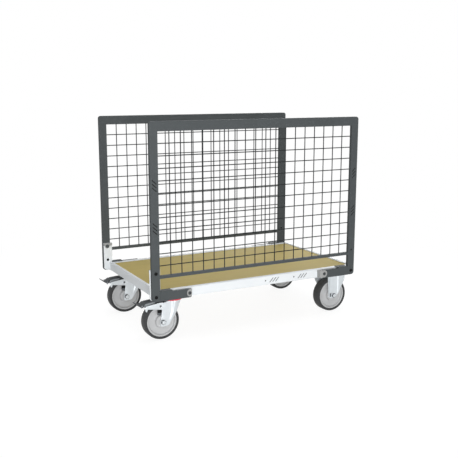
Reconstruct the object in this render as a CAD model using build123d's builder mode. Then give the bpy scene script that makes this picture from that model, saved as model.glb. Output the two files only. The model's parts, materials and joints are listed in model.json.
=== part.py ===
from build123d import *
from math import acos, cos, degrees, radians, sin
import os

# Mesh-sided platform trolley, in millimetres.
# X runs along the deck, from the swivel castors (-X, left) to the fixed castors (+X, right).
# Y runs across it, with the front side panel at -Y, and Z is up.
# The origin is on the floor, under the middle of the overall length and width.

# Wheels
wheel_d = 160.0
tyre_w = 50.0
tyre_depth = 14.0
tyre_shoulder = 10.0
tyre_rib_w = 12.0
tyre_rib_h = 3.0
hub_boss_d = 46.0
hub_boss_l = 54.0
hub_rim_w = 42.0
hub_rim_t = 7.0
hub_web_t = 24.0
hub_edge = 3.0
axle_d = 12.0
axle_gap = 0.1
sleeve_d = 16.0
running_gap = 0.05

# Castors
castor_rise = 31.0
castor_inset = 74.5
kingpin_inset = 97.0
fixed_axle_inset = 80.0
trail = 55.0
castor_plate_l = 126.0
castor_plate_w = 110.0
castor_plate_t = 4.0
castor_plate_r = 10.0
castor_bolt_x = 70.0
castor_bolt_y = 84.0
leg_t = 4.0
leg_side_gap = 1.5
crown_d = 84.0
crown_t = 6.0
race_d = 74.0
race_t = 5.0
ball_d = 8.0
ball_count = 20
ball_circle_d = 60.0
ball_gap = 0.3
seal_d = 90.0
seal_wall = 5.0
seal_gap = 0.5
kingpin_d = 12.0
kingpin_head_d = 24.0
kingpin_head_t = 8.0
kingpin_gap = 0.3
kingpin_chamfer = 2.0

# Legs of both castors, ahead of the axle (+) or behind it (-)
leg_foot_drop = 20.0
leg_foot_r = 13.0
leg_toe = 25.0
leg_heel = 13.0
leg_past_kingpin = 33.0
leg_knee_back = 24.0
leg_knee_drop = 45.0
leg_hole_d = 6.0
leg_hole_back = 9.0
leg_hole_drop = 10.0
crown_reach = 35.0
fixed_leg_front = 63.0
fixed_leg_back = 28.0
fixed_leg_toe = 30.0
fixed_leg_taper = 2.0
fixed_knee_drop = 4.0

# Brake guard on each fork leg: points measured from the back and from the top of the wheel
guard_under = ((77.0, -28.0), (14.0, -19.0))
guard_hook = ((10.0, -29.0), (4.0, -27.0), (0.0, -12.0), (4.0, -3.0))
guard_top = (66.0, 6.0)
guard_crown_x = 74.0

# Brake pedal: the same measure for its outline, then the pivot and the pad
pedal_past_wheel = 36.0
pedal_top = ((53.0, 16.5), (25.0, 14.5), (3.0, 11.0), (-4.0, 6.0), (-18.0, 1.0))
pedal_tip_rise = 12.0
pedal_t = 4.0
pedal_under = ((-18.0, -4.0), (-2.0, -13.0))
pedal_w = 40.0
pedal_arm_gap = 9.5
pedal_pin_ahead = 4.0
pedal_pin_rise = 8.0
pedal_pin_d = 6.0
pedal_pin_head_d = 11.0
pedal_pin_head_t = 2.5
pedal_eye_r = 6.5
pedal_eye_gap = 0.5
pad_gap = 4.0
pad_w = 30.0
pad_from = 15.0
pad_to = 38.0

# Platform
platform_l = 1004.0
platform_w = 593.0
rail_h = 40.0
rail_w = 20.0
end_rail_w = 15.0
rail_wall = 2.0
rail_edge_r = 3.0
board_t = 12.0
board_drop = 4.0
board_gap = 1.0
board_edge = 1.0
bearer_t = 3.0
middle_bearer_w = 60.0
corner_plate_w = 42.0
corner_plate_h = 132.0
corner_plate_t = 6.0
corner_plate_r = 20.0
corner_plate_lift = 2.0
corner_hole_up = 32.0

# Side panels
panel_past_left = 30.0
panel_short_right = 10.0
panel_h = 737.0
panel_depth = 15.0
panel_wall = 1.5
panel_edge_r = 1.0
upright_w = 36.0
top_rail_h = 40.0
sill_gap = 56.0
sill_h = 12.5
head_corner_r = 12.0
foot_corner_r = 14.0
mesh_pitch = 50.0
mesh_head_gap = 48.0
wire_d = 4.2
weld_gap = 0.02

# Feet that tie each panel to the platform
arm_t = 5.0
arm_drop = 2.5
arm_bend_r = 40.0
arm_end_flat = 34.0
arm_past_bolt = 8.0
hook_l = 55.0
hook_t = 3.0
hook_bend_r = 2.0
hook_over = 9.0
cap_inset = 169.0
cap_tail_left = 10.5
cap_tail_right = 25.0
cap_past_left = 11.5
cap_past_right = 16.5
cap_h = 34.0
cap_t = 2.0
cap_r = 16.0
cap_edge_r = 0.8
cap_gap = 1.0
bush_d = 2 * arm_past_bolt
plate_cap_h = 28.0
plate_cap_t = 5.0
plate_cap_r = 12.0
plate_cap_edge_r = 1.5

# Slanted accessory slots and the round holes beside them
slot_l = 27.0
slot_w = 3.6
slot_count = 3
slot_pitch = 15.0
slot_lean = 47.5
slot_heights = (306.0, 481.0)
rail_hole_d = 7.0
rail_hole_reach = 40.0
rail_hole_step = 150.0
rail_slot_offset = 46.0

# Screws
bolt_d = 8.0
bolt_hole_d = 8.5
bolt_head_d = 14.0
bolt_head_h = 4.4
bolt_head_r = 2.5
bolt_socket = 5.0
bolt_socket_depth = 2.4
bolt_tail = 1.0
tapped_gap = 0.05
nut_flats = 13.0
nut_h = 6.5
hex_head_h = 5.3
foot_bolt_up = 19.5
foot_bolt_step = 100.0
axle_flats = 19.0
axle_head_h = 7.0
axle_tail = 2.0

# Places along X
wheel_r = wheel_d / 2
swivel_reach = pedal_past_wheel + wheel_r + trail - kingpin_inset
fixed_reach = wheel_r - fixed_axle_inset
overall_l = swivel_reach + platform_l + fixed_reach
platform_x0 = swivel_reach - overall_l / 2
platform_x1 = platform_x0 + platform_l
kingpin_x = platform_x0 + kingpin_inset
swivel_axle_x = kingpin_x - trail
fixed_axle_x = platform_x1 - fixed_axle_inset
board_x0 = platform_x0 + end_rail_w
board_x1 = platform_x1 - end_rail_w
panel_x0 = platform_x0 - panel_past_left
panel_x1 = platform_x1 - panel_short_right
panel_mid_x = (panel_x0 + panel_x1) / 2
opening_x0 = panel_x0 + upright_w
opening_x1 = panel_x1 - upright_w
left_bolt_x = panel_x0 + upright_w / 2
right_bolt_x = panel_x1 - upright_w / 2
left_cap_x = panel_x0 + cap_inset
right_cap_x = panel_x1 - cap_inset
rail_hole_xs = (panel_mid_x + rail_hole_reach, panel_mid_x + rail_hole_reach + rail_hole_step)

# Places across Y, on the front side, where they are negative
rail_face_y = -platform_w / 2
rail_inner_y = rail_face_y + rail_w
panel_back_y = rail_face_y - corner_plate_t
panel_front_y = panel_back_y - panel_depth
panel_mid_y = (panel_front_y + panel_back_y) / 2
cap_face_y = panel_front_y
arm_face_y = cap_face_y + cap_t
arm_back_y = arm_face_y + arm_t
wheel_y = rail_face_y + castor_inset

# Heights
axle_z = wheel_r
castor_height = wheel_d + castor_rise
rail_z0 = castor_height
rail_z1 = rail_z0 + rail_h
rail_mid_z = rail_z0 + rail_h / 2
board_z1 = rail_z1 - board_drop
board_z0 = board_z1 - board_t
panel_z0 = rail_z0
panel_z1 = panel_z0 + panel_h
sill_z0 = rail_z1 + sill_gap
sill_z1 = sill_z0 + sill_h
opening_z1 = panel_z1 - top_rail_h
foot_bolt_z = panel_z0 + foot_bolt_up
upper_bolt_z = foot_bolt_z + foot_bolt_step
corner_plate_z0 = panel_z0 + corner_plate_lift
corner_plate_z1 = corner_plate_z0 + corner_plate_h
plate_z0 = castor_height - castor_plate_t
race_z0 = plate_z0 - race_t
crown_z1 = race_z0 - ball_d - 2 * ball_gap
crown_z0 = crown_z1 - crown_t

# Wheel and leg sizes that follow from the ones above
rim_r = wheel_r - tyre_depth
leg_in = hub_boss_l / 2 + leg_side_gap
leg_out = leg_in + leg_t
pin_x = swivel_axle_x + pedal_pin_ahead
pin_z = wheel_d + pedal_pin_rise

front_to_back = Plane.XZ
left_to_right = Plane.YZ.offset(panel_mid_x)
front_castor_middle = Plane.XZ.offset(-wheel_y)

os.makedirs("parts", exist_ok=True)


def save(piece, name):
    """Label a finished piece and write it as its own file."""
    piece.part.label = name
    export_step(piece.part, f"parts/{name}.step")


def save_pair(piece, name):
    """Write a front piece, and its mirror image on the back side."""
    save(piece, f"front_{name}")
    with BuildPart() as twin:
        mirror(piece.part, about=front_to_back)
    save(twin, f"back_{name}")


def save_four(piece, name):
    """Write a front left piece and its mirror images at the three other corners."""
    save_pair(piece, f"left_{name}")
    with BuildPart() as twin:
        mirror(piece.part, about=left_to_right)
    save_pair(twin, f"right_{name}")


def facing_front(y):
    """Upright plane at y that looks out to the front, with local x along X and local y up."""
    return Plane(origin=(0, y, 0), x_dir=(1, 0, 0), z_dir=(0, -1, 0))


def through_axle(x):
    """Upright plane through a front wheel's axle, with local x along it and local y up."""
    return Plane(origin=(x, wheel_y, axle_z), x_dir=(0, 1, 0), z_dir=(1, 0, 0))


def slot_group(x, z, turn):
    """Row of slanted slots about a point, turned from the level."""
    with BuildSketch() as slots:
        with GridLocations(slot_pitch, slot_pitch, slot_count, 1):
            SlotOverall(slot_l, slot_w, rotation=slot_lean)
    return slots.sketch.rotate(Axis.Z, turn).moved(Location((x, z, 0)))


def around_swivel_axle(radius, turned_back):
    """Point at a radius from the swivel axle, turned back from straight up, in degrees."""
    turn = radians(turned_back)
    return (swivel_axle_x - radius * sin(turn), axle_z + radius * cos(turn))


def from_wheel_back(along, up):
    """Point measured from the back of the swivel wheel and from the height of its top."""
    return (swivel_axle_x - wheel_r + along, wheel_d + up)


# Side rails: box sections with closed ends, and the accessory holes in the outer wall
with BuildPart() as side_rail:
    with BuildSketch(Plane.YZ.offset(platform_x0)):
        with Locations((rail_face_y + rail_w / 2, rail_mid_z)):
            RectangleRounded(rail_w, rail_h, rail_edge_r)
    extrude(amount=platform_l)
    with BuildSketch(Plane.YZ.offset(platform_x0 + rail_wall)):
        with Locations((rail_face_y + rail_w / 2, rail_mid_z)):
            Rectangle(rail_w - 2 * rail_wall, rail_h - 2 * rail_wall)
    extrude(amount=platform_l - 2 * rail_wall, mode=Mode.SUBTRACT)
    with BuildSketch(facing_front(rail_face_y)):
        for hole_x in rail_hole_xs:
            with Locations((hole_x, rail_mid_z)):
                Circle(rail_hole_d / 2)
            add(slot_group(hole_x + rail_slot_offset, rail_mid_z, 0))
        with Locations((left_cap_x, rail_mid_z), (right_cap_x, rail_mid_z), (right_bolt_x, foot_bolt_z)):
            Circle(bolt_hole_d / 2)
    extrude(amount=-rail_wall, mode=Mode.SUBTRACT)
save_pair(side_rail, "side_rail")

# End rails: open box sections that butt against the inner faces of the side rails
for end_name, end_x in (("left", platform_x0), ("right", board_x1)):
    with BuildPart() as end_rail:
        with BuildSketch(facing_front(rail_inner_y)):
            with Locations((end_x + end_rail_w / 2, rail_mid_z)):
                RectangleRounded(end_rail_w, rail_h, rail_edge_r)
                Rectangle(end_rail_w - 2 * rail_wall, rail_h - 2 * rail_wall, mode=Mode.SUBTRACT)
        extrude(amount=2 * rail_inner_y)
    save(end_rail, f"{end_name}_end_rail")

# Bearers: channels between the side rails, open upwards, that carry the board and the castors
left_bearer = (kingpin_x - castor_plate_l / 2, kingpin_x + castor_plate_l / 2)
right_bearer = (fixed_axle_x - castor_plate_l / 2, board_x1)
middle_x = (left_bearer[1] + right_bearer[0]) / 2
middle_bearer = (middle_x - middle_bearer_w / 2, middle_x + middle_bearer_w / 2)
bearers = {
    "left_castor_bearer": (left_bearer, kingpin_x),
    "middle_bearer": (middle_bearer, None),
    "right_castor_bearer": (right_bearer, fixed_axle_x),
}
for bearer_name, ((bearer_x0, bearer_x1), castor_x) in bearers.items():
    with BuildPart() as bearer:
        with BuildSketch(facing_front(rail_inner_y)):
            with BuildLine():
                Polyline(
                    (bearer_x0, board_z0),
                    (bearer_x0, rail_z0),
                    (bearer_x1, rail_z0),
                    (bearer_x1, board_z0),
                    (bearer_x1 - bearer_t, board_z0),
                    (bearer_x1 - bearer_t, rail_z0 + bearer_t),
                    (bearer_x0 + bearer_t, rail_z0 + bearer_t),
                    (bearer_x0 + bearer_t, board_z0),
                    close=True,
                )
            make_face()
        extrude(amount=2 * rail_inner_y)
        if castor_x is not None:
            with BuildSketch(Plane.XY.offset(rail_z0)):
                with Locations((castor_x, wheel_y), (castor_x, -wheel_y)):
                    with GridLocations(castor_bolt_x, castor_bolt_y, 2, 2):
                        Circle(bolt_hole_d / 2)
            extrude(amount=bearer_t, mode=Mode.SUBTRACT)
    save(bearer, bearer_name)

# Board: laid inside the rim, on the bearers
with BuildPart() as deck_board:
    with BuildSketch(Plane.XY.offset(board_z0)):
        with Locations(((board_x0 + board_x1) / 2, 0)):
            Rectangle(board_x1 - board_x0 - 2 * board_gap, -2 * rail_inner_y - 2 * board_gap)
    extrude(amount=board_t)
    chamfer(deck_board.faces().sort_by(Axis.Z)[-1].edges(), board_edge)
save(deck_board, "deck_board")

# Corner plates: tall plates on the side rails at the left end, behind the uprights
with BuildPart() as corner_plate:
    with BuildSketch(facing_front(rail_face_y)):
        with Locations((left_bolt_x, corner_plate_z0)):
            Rectangle(corner_plate_w, corner_plate_h, align=(Align.CENTER, Align.MIN))
    extrude(amount=corner_plate_t)
    fillet(corner_plate.edges().filter_by(Axis.Y).group_by(Axis.Z)[0].sort_by(Axis.X)[0], corner_plate_r)
    with BuildSketch(facing_front(rail_face_y)):
        with Locations((left_bolt_x, foot_bolt_z)):
            Circle(bolt_d / 2 + tapped_gap)
        with Locations((left_bolt_x, foot_bolt_z + corner_hole_up), (left_bolt_x, upper_bolt_z)):
            Circle(bolt_hole_d / 2)
    extrude(amount=corner_plate_t, mode=Mode.SUBTRACT)
save_pair(corner_plate, "corner_plate")

# Spacers: pads between the right feet and the side rails, and bushes behind the ends of the foot arms
with BuildPart() as foot_spacers:
    with BuildSketch(facing_front(rail_face_y)):
        with Locations((opening_x1, rail_z0)):
            Rectangle(panel_x1 - opening_x1, rail_h, align=(Align.MIN, Align.MIN))
        with Locations((right_bolt_x, foot_bolt_z)):
            Circle(bolt_hole_d / 2, mode=Mode.SUBTRACT)
    extrude(amount=corner_plate_t)
    with BuildSketch(facing_front(rail_face_y)):
        with Locations((left_cap_x, rail_mid_z), (right_cap_x, rail_mid_z)):
            Circle(bush_d / 2)
            Circle(bolt_hole_d / 2, mode=Mode.SUBTRACT)
    extrude(amount=rail_face_y - arm_back_y)
    mirror(about=front_to_back)
save(foot_spacers, "foot_spacers")


# Panel frame: uprights and top rail are box sections, mitred at the head
def arch(inset):
    """Face of both uprights and the top rail as one arch, drawn in by an inset."""
    with BuildSketch() as face:
        with BuildLine():
            Polyline(
                (panel_x0, panel_z0),
                (panel_x0, panel_z1),
                (panel_x1, panel_z1),
                (panel_x1, panel_z0),
                (opening_x1, panel_z0),
                (opening_x1, opening_z1),
                (opening_x0, opening_z1),
                (opening_x0, panel_z0),
                close=True,
            )
        make_face()
        fillet(face.vertices().group_by(Axis.Y)[-1], head_corner_r)
        feet = face.vertices().group_by(Axis.Y)[0].sort_by(Axis.X)
        fillet([feet[0], feet[-1]], foot_corner_r)
        if inset:
            offset(amount=-inset, mode=Mode.REPLACE)
    return face.sketch


def long_edges(tube):
    """Edges round the front and back faces of a tube, but not those on its mitres."""
    faces = tube.faces().filter_by(Axis.Y).sort_by(Axis.Y)
    edges = faces[0].outer_wire().edges() + faces[-1].outer_wire().edges()
    return edges.filter_by(Axis.X) + edges.filter_by(Axis.Z) + edges.filter_by(GeomType.CIRCLE)


mitre_left = (panel_x0 - upright_w, panel_z1 + top_rail_h)
mitre_right = (panel_x1 + upright_w, panel_z1 + top_rail_h)
upright_zone = (
    (opening_x0, panel_z0 - upright_w),
    (opening_x0, opening_z1),
    mitre_left,
    (panel_x0 - upright_w, panel_z0 - upright_w),
)
head_zone = (
    (opening_x0, opening_z1),
    (opening_x1, opening_z1),
    mitre_right,
    mitre_left,
)

with BuildPart() as upright:
    for inset in (0, panel_wall):
        with BuildSketch(facing_front(panel_back_y - inset)):
            add(arch(inset))
            with BuildLine():
                Polyline(*upright_zone, close=True)
            make_face(mode=Mode.INTERSECT)
        extrude(amount=panel_depth - 2 * inset, mode=Mode.SUBTRACT if inset else Mode.ADD)
    fillet(long_edges(upright), panel_edge_r)
    with BuildSketch(facing_front(panel_front_y)):
        for slot_height in slot_heights:
            add(slot_group(left_bolt_x, panel_z0 + slot_height, 90))
    extrude(amount=-panel_wall, mode=Mode.SUBTRACT)
    with BuildSketch(facing_front(panel_front_y)):
        with Locations((left_bolt_x, foot_bolt_z), (left_bolt_x, upper_bolt_z)):
            Circle(bolt_hole_d / 2)
    extrude(amount=-panel_depth, mode=Mode.SUBTRACT)
save_four(upright, "upright")

with BuildPart() as top_rail:
    for inset in (0, panel_wall):
        with BuildSketch(facing_front(panel_back_y - inset)):
            add(arch(inset))
            with BuildLine():
                Polyline(*head_zone, close=True)
            make_face(mode=Mode.INTERSECT)
        extrude(amount=panel_depth - 2 * inset, mode=Mode.SUBTRACT if inset else Mode.ADD)
    fillet(long_edges(top_rail), panel_edge_r)
save_pair(top_rail, "top_rail")

with BuildPart() as bottom_rail:
    with BuildSketch(Plane.YZ.offset(opening_x0)):
        with Locations((panel_mid_y, (sill_z0 + sill_z1) / 2)):
            RectangleRounded(panel_depth, sill_h, panel_edge_r)
            Rectangle(panel_depth - 2 * panel_wall, sill_h - 2 * panel_wall, mode=Mode.SUBTRACT)
    extrude(amount=opening_x1 - opening_x0)
save_pair(bottom_rail, "bottom_rail")

# Welded mesh: upright wires on the outside, level wires behind them
wire_columns = int((opening_x1 - opening_x0) // mesh_pitch) - 1
wire_rows = int((opening_z1 - mesh_head_gap - sill_z1) // mesh_pitch) + 1
wire_off = (wire_d + weld_gap) / 2
with BuildPart() as mesh:
    with BuildSketch(Plane.XY.offset(sill_z1)):
        with Locations((panel_mid_x, panel_mid_y - wire_off)):
            with GridLocations(mesh_pitch, mesh_pitch, wire_columns, 1):
                Circle(wire_d / 2)
    extrude(amount=opening_z1 - sill_z1)
    with BuildSketch(Plane.YZ.offset(opening_x0)):
        for row in range(wire_rows):
            with Locations((panel_mid_y + wire_off, opening_z1 - mesh_head_gap - row * mesh_pitch)):
                Circle(wire_d / 2)
    extrude(amount=opening_x1 - opening_x0)
save_pair(mesh, "mesh")

# Foot arms: flat bars from the uprights along the side rails, with a hook over the rim
arm_end_x = left_cap_x + arm_past_bolt
hook_x0 = left_bolt_x + corner_plate_w / 2 + cap_gap
hook_x1 = opening_x0 + hook_l
hook_reach = rail_face_y + hook_over - panel_front_y
with BuildPart() as foot_arm:
    with BuildSketch(Plane.XY.offset(rail_z0)):
        with BuildLine():
            FilletPolyline(
                (opening_x0, panel_front_y + arm_t / 2),
                (hook_x1, panel_front_y + arm_t / 2),
                (arm_end_x - arm_end_flat, arm_face_y + arm_t / 2),
                (arm_end_x, arm_face_y + arm_t / 2),
                radius=arm_bend_r,
            )
        trace(line_width=arm_t)
    extrude(amount=rail_h - arm_drop)
    with BuildSketch(Plane.XY.offset(rail_z1 - arm_drop)):
        with Locations((opening_x0, panel_front_y)):
            Rectangle(hook_x1 - opening_x0, arm_t, align=(Align.MIN, Align.MIN))
    extrude(amount=arm_drop)
    with BuildSketch(Plane.XY.offset(rail_z1)):
        with Locations((hook_x0, panel_front_y)):
            Rectangle(hook_x1 - hook_x0, hook_reach, align=(Align.MIN, Align.MIN))
    extrude(amount=hook_t)
    fillet(foot_arm.edges().filter_by(Axis.X).group_by(Axis.Z)[-1].sort_by(Axis.Y)[0], hook_bend_r)
    with BuildSketch(facing_front(arm_back_y)):
        with Locations((left_cap_x, rail_mid_z)):
            Circle(bolt_hole_d / 2)
    extrude(amount=arm_t, mode=Mode.SUBTRACT)
save_four(foot_arm, "foot_arm")

# Arm caps: over the ends of the foot arms, rounded towards the corners; the right ones have a foot on the rail
with BuildPart() as arm_caps:
    for cap_x, inward, cap_past, cap_tail in (
        (left_cap_x, 1, cap_past_left, cap_tail_left),
        (right_cap_x, -1, cap_past_right, cap_tail_right),
    ):
        with BuildSketch(facing_front(arm_face_y)) as cap_face:
            with Locations((cap_x + inward * (cap_tail - cap_past) / 2, rail_mid_z)):
                Rectangle(cap_tail + cap_past, cap_h)
            corners = cap_face.vertices().sort_by(Axis.X)
            fillet(corners[:2] if inward > 0 else corners[-2:], cap_r)
            with Locations((cap_x, rail_mid_z)):
                Circle(bolt_hole_d / 2, mode=Mode.SUBTRACT)
        extrude(amount=cap_t)
        foot_from = arm_past_bolt + cap_gap
        if cap_tail > foot_from + arm_t:
            with BuildSketch(facing_front(rail_face_y)):
                with Locations((cap_x + inward * (foot_from + cap_tail) / 2, rail_mid_z)):
                    Rectangle(cap_tail - foot_from, cap_h)
            extrude(amount=rail_face_y - arm_face_y)
    for face in arm_caps.faces().group_by(Axis.Y)[0]:
        fillet(face.outer_wire().edges(), cap_edge_r)
    mirror(about=front_to_back)
save(arm_caps, "arm_caps")

# Plate caps: on the inner side of the corner plates, at the top
with BuildPart() as plate_caps:
    with BuildSketch(facing_front(rail_face_y)) as plate_cap_face:
        with Locations((left_bolt_x, corner_plate_z1)):
            Rectangle(corner_plate_w, plate_cap_h, align=(Align.CENTER, Align.MAX))
        fillet(plate_cap_face.vertices().group_by(Axis.Y)[0], plate_cap_r)
        with Locations((left_bolt_x, upper_bolt_z)):
            Circle(bolt_hole_d / 2, mode=Mode.SUBTRACT)
    extrude(amount=-plate_cap_t)
    fillet(plate_caps.faces().sort_by(Axis.Y)[-1].outer_wire().edges(), plate_cap_edge_r)
    mirror(about=front_to_back)
save(plate_caps, "plate_caps")

# Panel bolts: round heads with a hexagon socket, each with its place, seat and reach
foot_grip = panel_depth + corner_plate_t
nut_reach = nut_h + bolt_tail
cap_grip = rail_face_y - cap_face_y + rail_wall + nut_reach
panel_bolt_places = (
    (left_bolt_x, panel_front_y, foot_bolt_z, foot_grip),
    (left_bolt_x, panel_front_y, upper_bolt_z, foot_grip + plate_cap_t + nut_reach),
    (right_bolt_x, panel_front_y, foot_bolt_z, foot_grip + rail_wall + nut_reach),
    (left_cap_x, cap_face_y, rail_mid_z, cap_grip),
    (right_cap_x, cap_face_y, rail_mid_z, cap_grip),
)
with BuildPart() as panel_bolts:
    for bolt_x, seat_y, bolt_z, reach in panel_bolt_places:
        with BuildSketch(facing_front(seat_y)):
            with Locations((bolt_x, bolt_z)):
                Circle(bolt_head_d / 2)
        extrude(amount=bolt_head_h)
        fillet(panel_bolts.edges(Select.LAST).filter_by(GeomType.CIRCLE).sort_by(Axis.Y)[0], bolt_head_r)
        with BuildSketch(facing_front(seat_y - bolt_head_h)):
            with Locations((bolt_x, bolt_z)):
                RegularPolygon(bolt_socket / 2, 6, major_radius=False)
        extrude(amount=-bolt_socket_depth, mode=Mode.SUBTRACT)
        with BuildSketch(facing_front(seat_y)):
            with Locations((bolt_x, bolt_z)):
                Circle(bolt_d / 2)
        extrude(amount=-reach)
    mirror(about=front_to_back)
save(panel_bolts, "panel_bolts")

panel_nut_places = (
    (left_bolt_x, rail_face_y + plate_cap_t, upper_bolt_z),
    (right_bolt_x, rail_face_y + rail_wall, foot_bolt_z),
    (left_cap_x, rail_face_y + rail_wall, rail_mid_z),
    (right_cap_x, rail_face_y + rail_wall, rail_mid_z),
)
with BuildPart() as panel_nuts:
    for nut_x, seat_y, nut_z in panel_nut_places:
        with BuildSketch(facing_front(seat_y)):
            with Locations((nut_x, nut_z)):
                RegularPolygon(nut_flats / 2, 6, major_radius=False)
                Circle(bolt_d / 2 + tapped_gap, mode=Mode.SUBTRACT)
        extrude(amount=-nut_h)
    mirror(about=front_to_back)
save(panel_nuts, "panel_nuts")

# Castor bolts: hexagon heads under the castor plates, nuts inside the bearers
front_castors = ((kingpin_x, wheel_y), (fixed_axle_x, wheel_y))
with BuildPart() as castor_bolts:
    with BuildSketch(Plane.XY.offset(plate_z0)):
        with Locations(*front_castors):
            with GridLocations(castor_bolt_x, castor_bolt_y, 2, 2):
                RegularPolygon(nut_flats / 2, 6, major_radius=False)
    extrude(amount=-hex_head_h)
    with BuildSketch(Plane.XY.offset(plate_z0)):
        with Locations(*front_castors):
            with GridLocations(castor_bolt_x, castor_bolt_y, 2, 2):
                Circle(bolt_d / 2)
    extrude(amount=castor_plate_t + bearer_t + nut_reach)
    mirror(about=front_to_back)
save(castor_bolts, "castor_bolts")

with BuildPart() as castor_nuts:
    with BuildSketch(Plane.XY.offset(rail_z0 + bearer_t)):
        with Locations(*front_castors):
            with GridLocations(castor_bolt_x, castor_bolt_y, 2, 2):
                RegularPolygon(nut_flats / 2, 6, major_radius=False)
                Circle(bolt_d / 2 + tapped_gap, mode=Mode.SUBTRACT)
    extrude(amount=nut_h)
    mirror(about=front_to_back)
save(castor_nuts, "castor_nuts")

# Swivel bearing: a plate with its race, the kingpin, a ring of balls and a dust seal
with BuildPart() as swivel_plate:
    with BuildSketch(Plane.XY.offset(plate_z0)):
        with Locations((kingpin_x, wheel_y)):
            RectangleRounded(castor_plate_l, castor_plate_w, castor_plate_r)
            with GridLocations(castor_bolt_x, castor_bolt_y, 2, 2):
                Circle(bolt_hole_d / 2, mode=Mode.SUBTRACT)
    extrude(amount=castor_plate_t)
    with BuildSketch(Plane.XY.offset(race_z0)):
        with Locations((kingpin_x, wheel_y)):
            Circle(race_d / 2)
    extrude(amount=race_t)
    with BuildSketch(Plane.XY.offset(race_z0)):
        with Locations((kingpin_x, wheel_y)):
            Circle(kingpin_d / 2)
    extrude(amount=race_t + castor_plate_t, mode=Mode.SUBTRACT)
save_pair(swivel_plate, "left_swivel_plate")

with BuildPart() as kingpins:
    with BuildSketch(Plane.XY.offset(crown_z0 - kingpin_gap)):
        with Locations((kingpin_x, wheel_y)):
            Circle(kingpin_head_d / 2)
    extrude(amount=-kingpin_head_t)
    chamfer(kingpins.edges().filter_by(GeomType.CIRCLE).sort_by(Axis.Z)[0], kingpin_chamfer)
    with BuildSketch(Plane.XY.offset(crown_z0 - kingpin_gap)):
        with Locations((kingpin_x, wheel_y)):
            Circle(kingpin_d / 2)
    extrude(amount=castor_height - crown_z0 + kingpin_gap)
    mirror(about=front_to_back)
save(kingpins, "kingpins")

with BuildPart() as swivel_balls:
    with Locations((kingpin_x, wheel_y, race_z0 - ball_gap - ball_d / 2)):
        with PolarLocations(ball_circle_d / 2, ball_count):
            Sphere(ball_d / 2)
    mirror(about=front_to_back)
save(swivel_balls, "swivel_balls")

with BuildPart() as dust_seals:
    with BuildSketch(Plane.XY.offset(crown_z1 + seal_gap)):
        with Locations((kingpin_x, wheel_y)):
            Circle(seal_d / 2)
            Circle(seal_d / 2 - seal_wall, mode=Mode.SUBTRACT)
    extrude(amount=plate_z0 - crown_z1 - seal_gap)
    mirror(about=front_to_back)
save(dust_seals, "dust_seals")

# Swivel fork: two legs with the brake guard, under a crown that turns on the kingpin
leg_front_x = kingpin_x + leg_past_kingpin
with BuildPart() as fork:
    with BuildSketch(facing_front(wheel_y - leg_in)) as fork_leg:
        with BuildLine():
            Polyline(
                (leg_front_x, crown_z1),
                (leg_front_x - leg_knee_back, wheel_d - leg_knee_drop),
                (swivel_axle_x + leg_toe, axle_z - leg_foot_drop),
                (swivel_axle_x - leg_heel, axle_z - leg_foot_drop),
                *[from_wheel_back(along, up) for along, up in (*guard_under, *guard_hook, guard_top)],
                from_wheel_back(guard_crown_x, crown_z1 - wheel_d),
                close=True,
            )
        make_face()
        fillet(fork_leg.vertices().group_by(Axis.Y)[0], leg_foot_r)
        with Locations((swivel_axle_x, axle_z)):
            Circle(axle_d / 2 + axle_gap, mode=Mode.SUBTRACT)
        with Locations((pin_x, pin_z)):
            Circle(pedal_pin_d / 2 + running_gap, mode=Mode.SUBTRACT)
        with Locations((swivel_axle_x - leg_hole_back, wheel_d - leg_hole_drop)):
            Circle(leg_hole_d / 2, mode=Mode.SUBTRACT)
    extrude(amount=leg_t)
    mirror(about=front_castor_middle)
    with BuildSketch(Plane.XY.offset(crown_z0)):
        with Locations((leg_front_x, wheel_y)):
            Rectangle(leg_past_kingpin + crown_reach, 2 * leg_out, align=(Align.MAX, Align.CENTER))
        with Locations((kingpin_x, wheel_y)):
            Circle(crown_d / 2)
            Circle(kingpin_d / 2 + running_gap, mode=Mode.SUBTRACT)
    extrude(amount=crown_t)
save_pair(fork, "left_fork")

# Brake: a pedal on a pin between the fork legs, with a pad that comes down on the tyre
arm_r = wheel_r + pedal_arm_gap
arm_back = degrees(acos((wheel_r + pedal_under[-1][1]) / arm_r))
with BuildPart() as brake_pedal:
    with BuildSketch(facing_front(wheel_y)):
        with BuildLine():
            Polyline(
                around_swivel_axle(arm_r, 0),
                (pin_x, pin_z),
                (pin_x, pin_z + pedal_eye_r),
                *[from_wheel_back(along, up) for along, up in pedal_top],
                from_wheel_back(-pedal_past_wheel, pedal_tip_rise),
                from_wheel_back(-pedal_past_wheel, pedal_tip_rise - pedal_t),
                *[from_wheel_back(along, up) for along, up in pedal_under],
                around_swivel_axle(arm_r, arm_back),
            )
            ThreePointArc(
                around_swivel_axle(arm_r, arm_back),
                around_swivel_axle(arm_r, arm_back / 2),
                around_swivel_axle(arm_r, 0),
            )
        make_face()
    extrude(amount=pedal_w / 2, both=True)
    with BuildSketch(facing_front(wheel_y)):
        with Locations((pin_x, pin_z)):
            Circle(pedal_eye_r)
    extrude(amount=leg_in - pedal_eye_gap, both=True)
    with BuildSketch(facing_front(wheel_y)):
        with Locations((pin_x, pin_z)):
            Circle(pedal_pin_d / 2 + running_gap)
    extrude(amount=leg_in, both=True, mode=Mode.SUBTRACT)
save_pair(brake_pedal, "left_brake_pedal")

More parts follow.
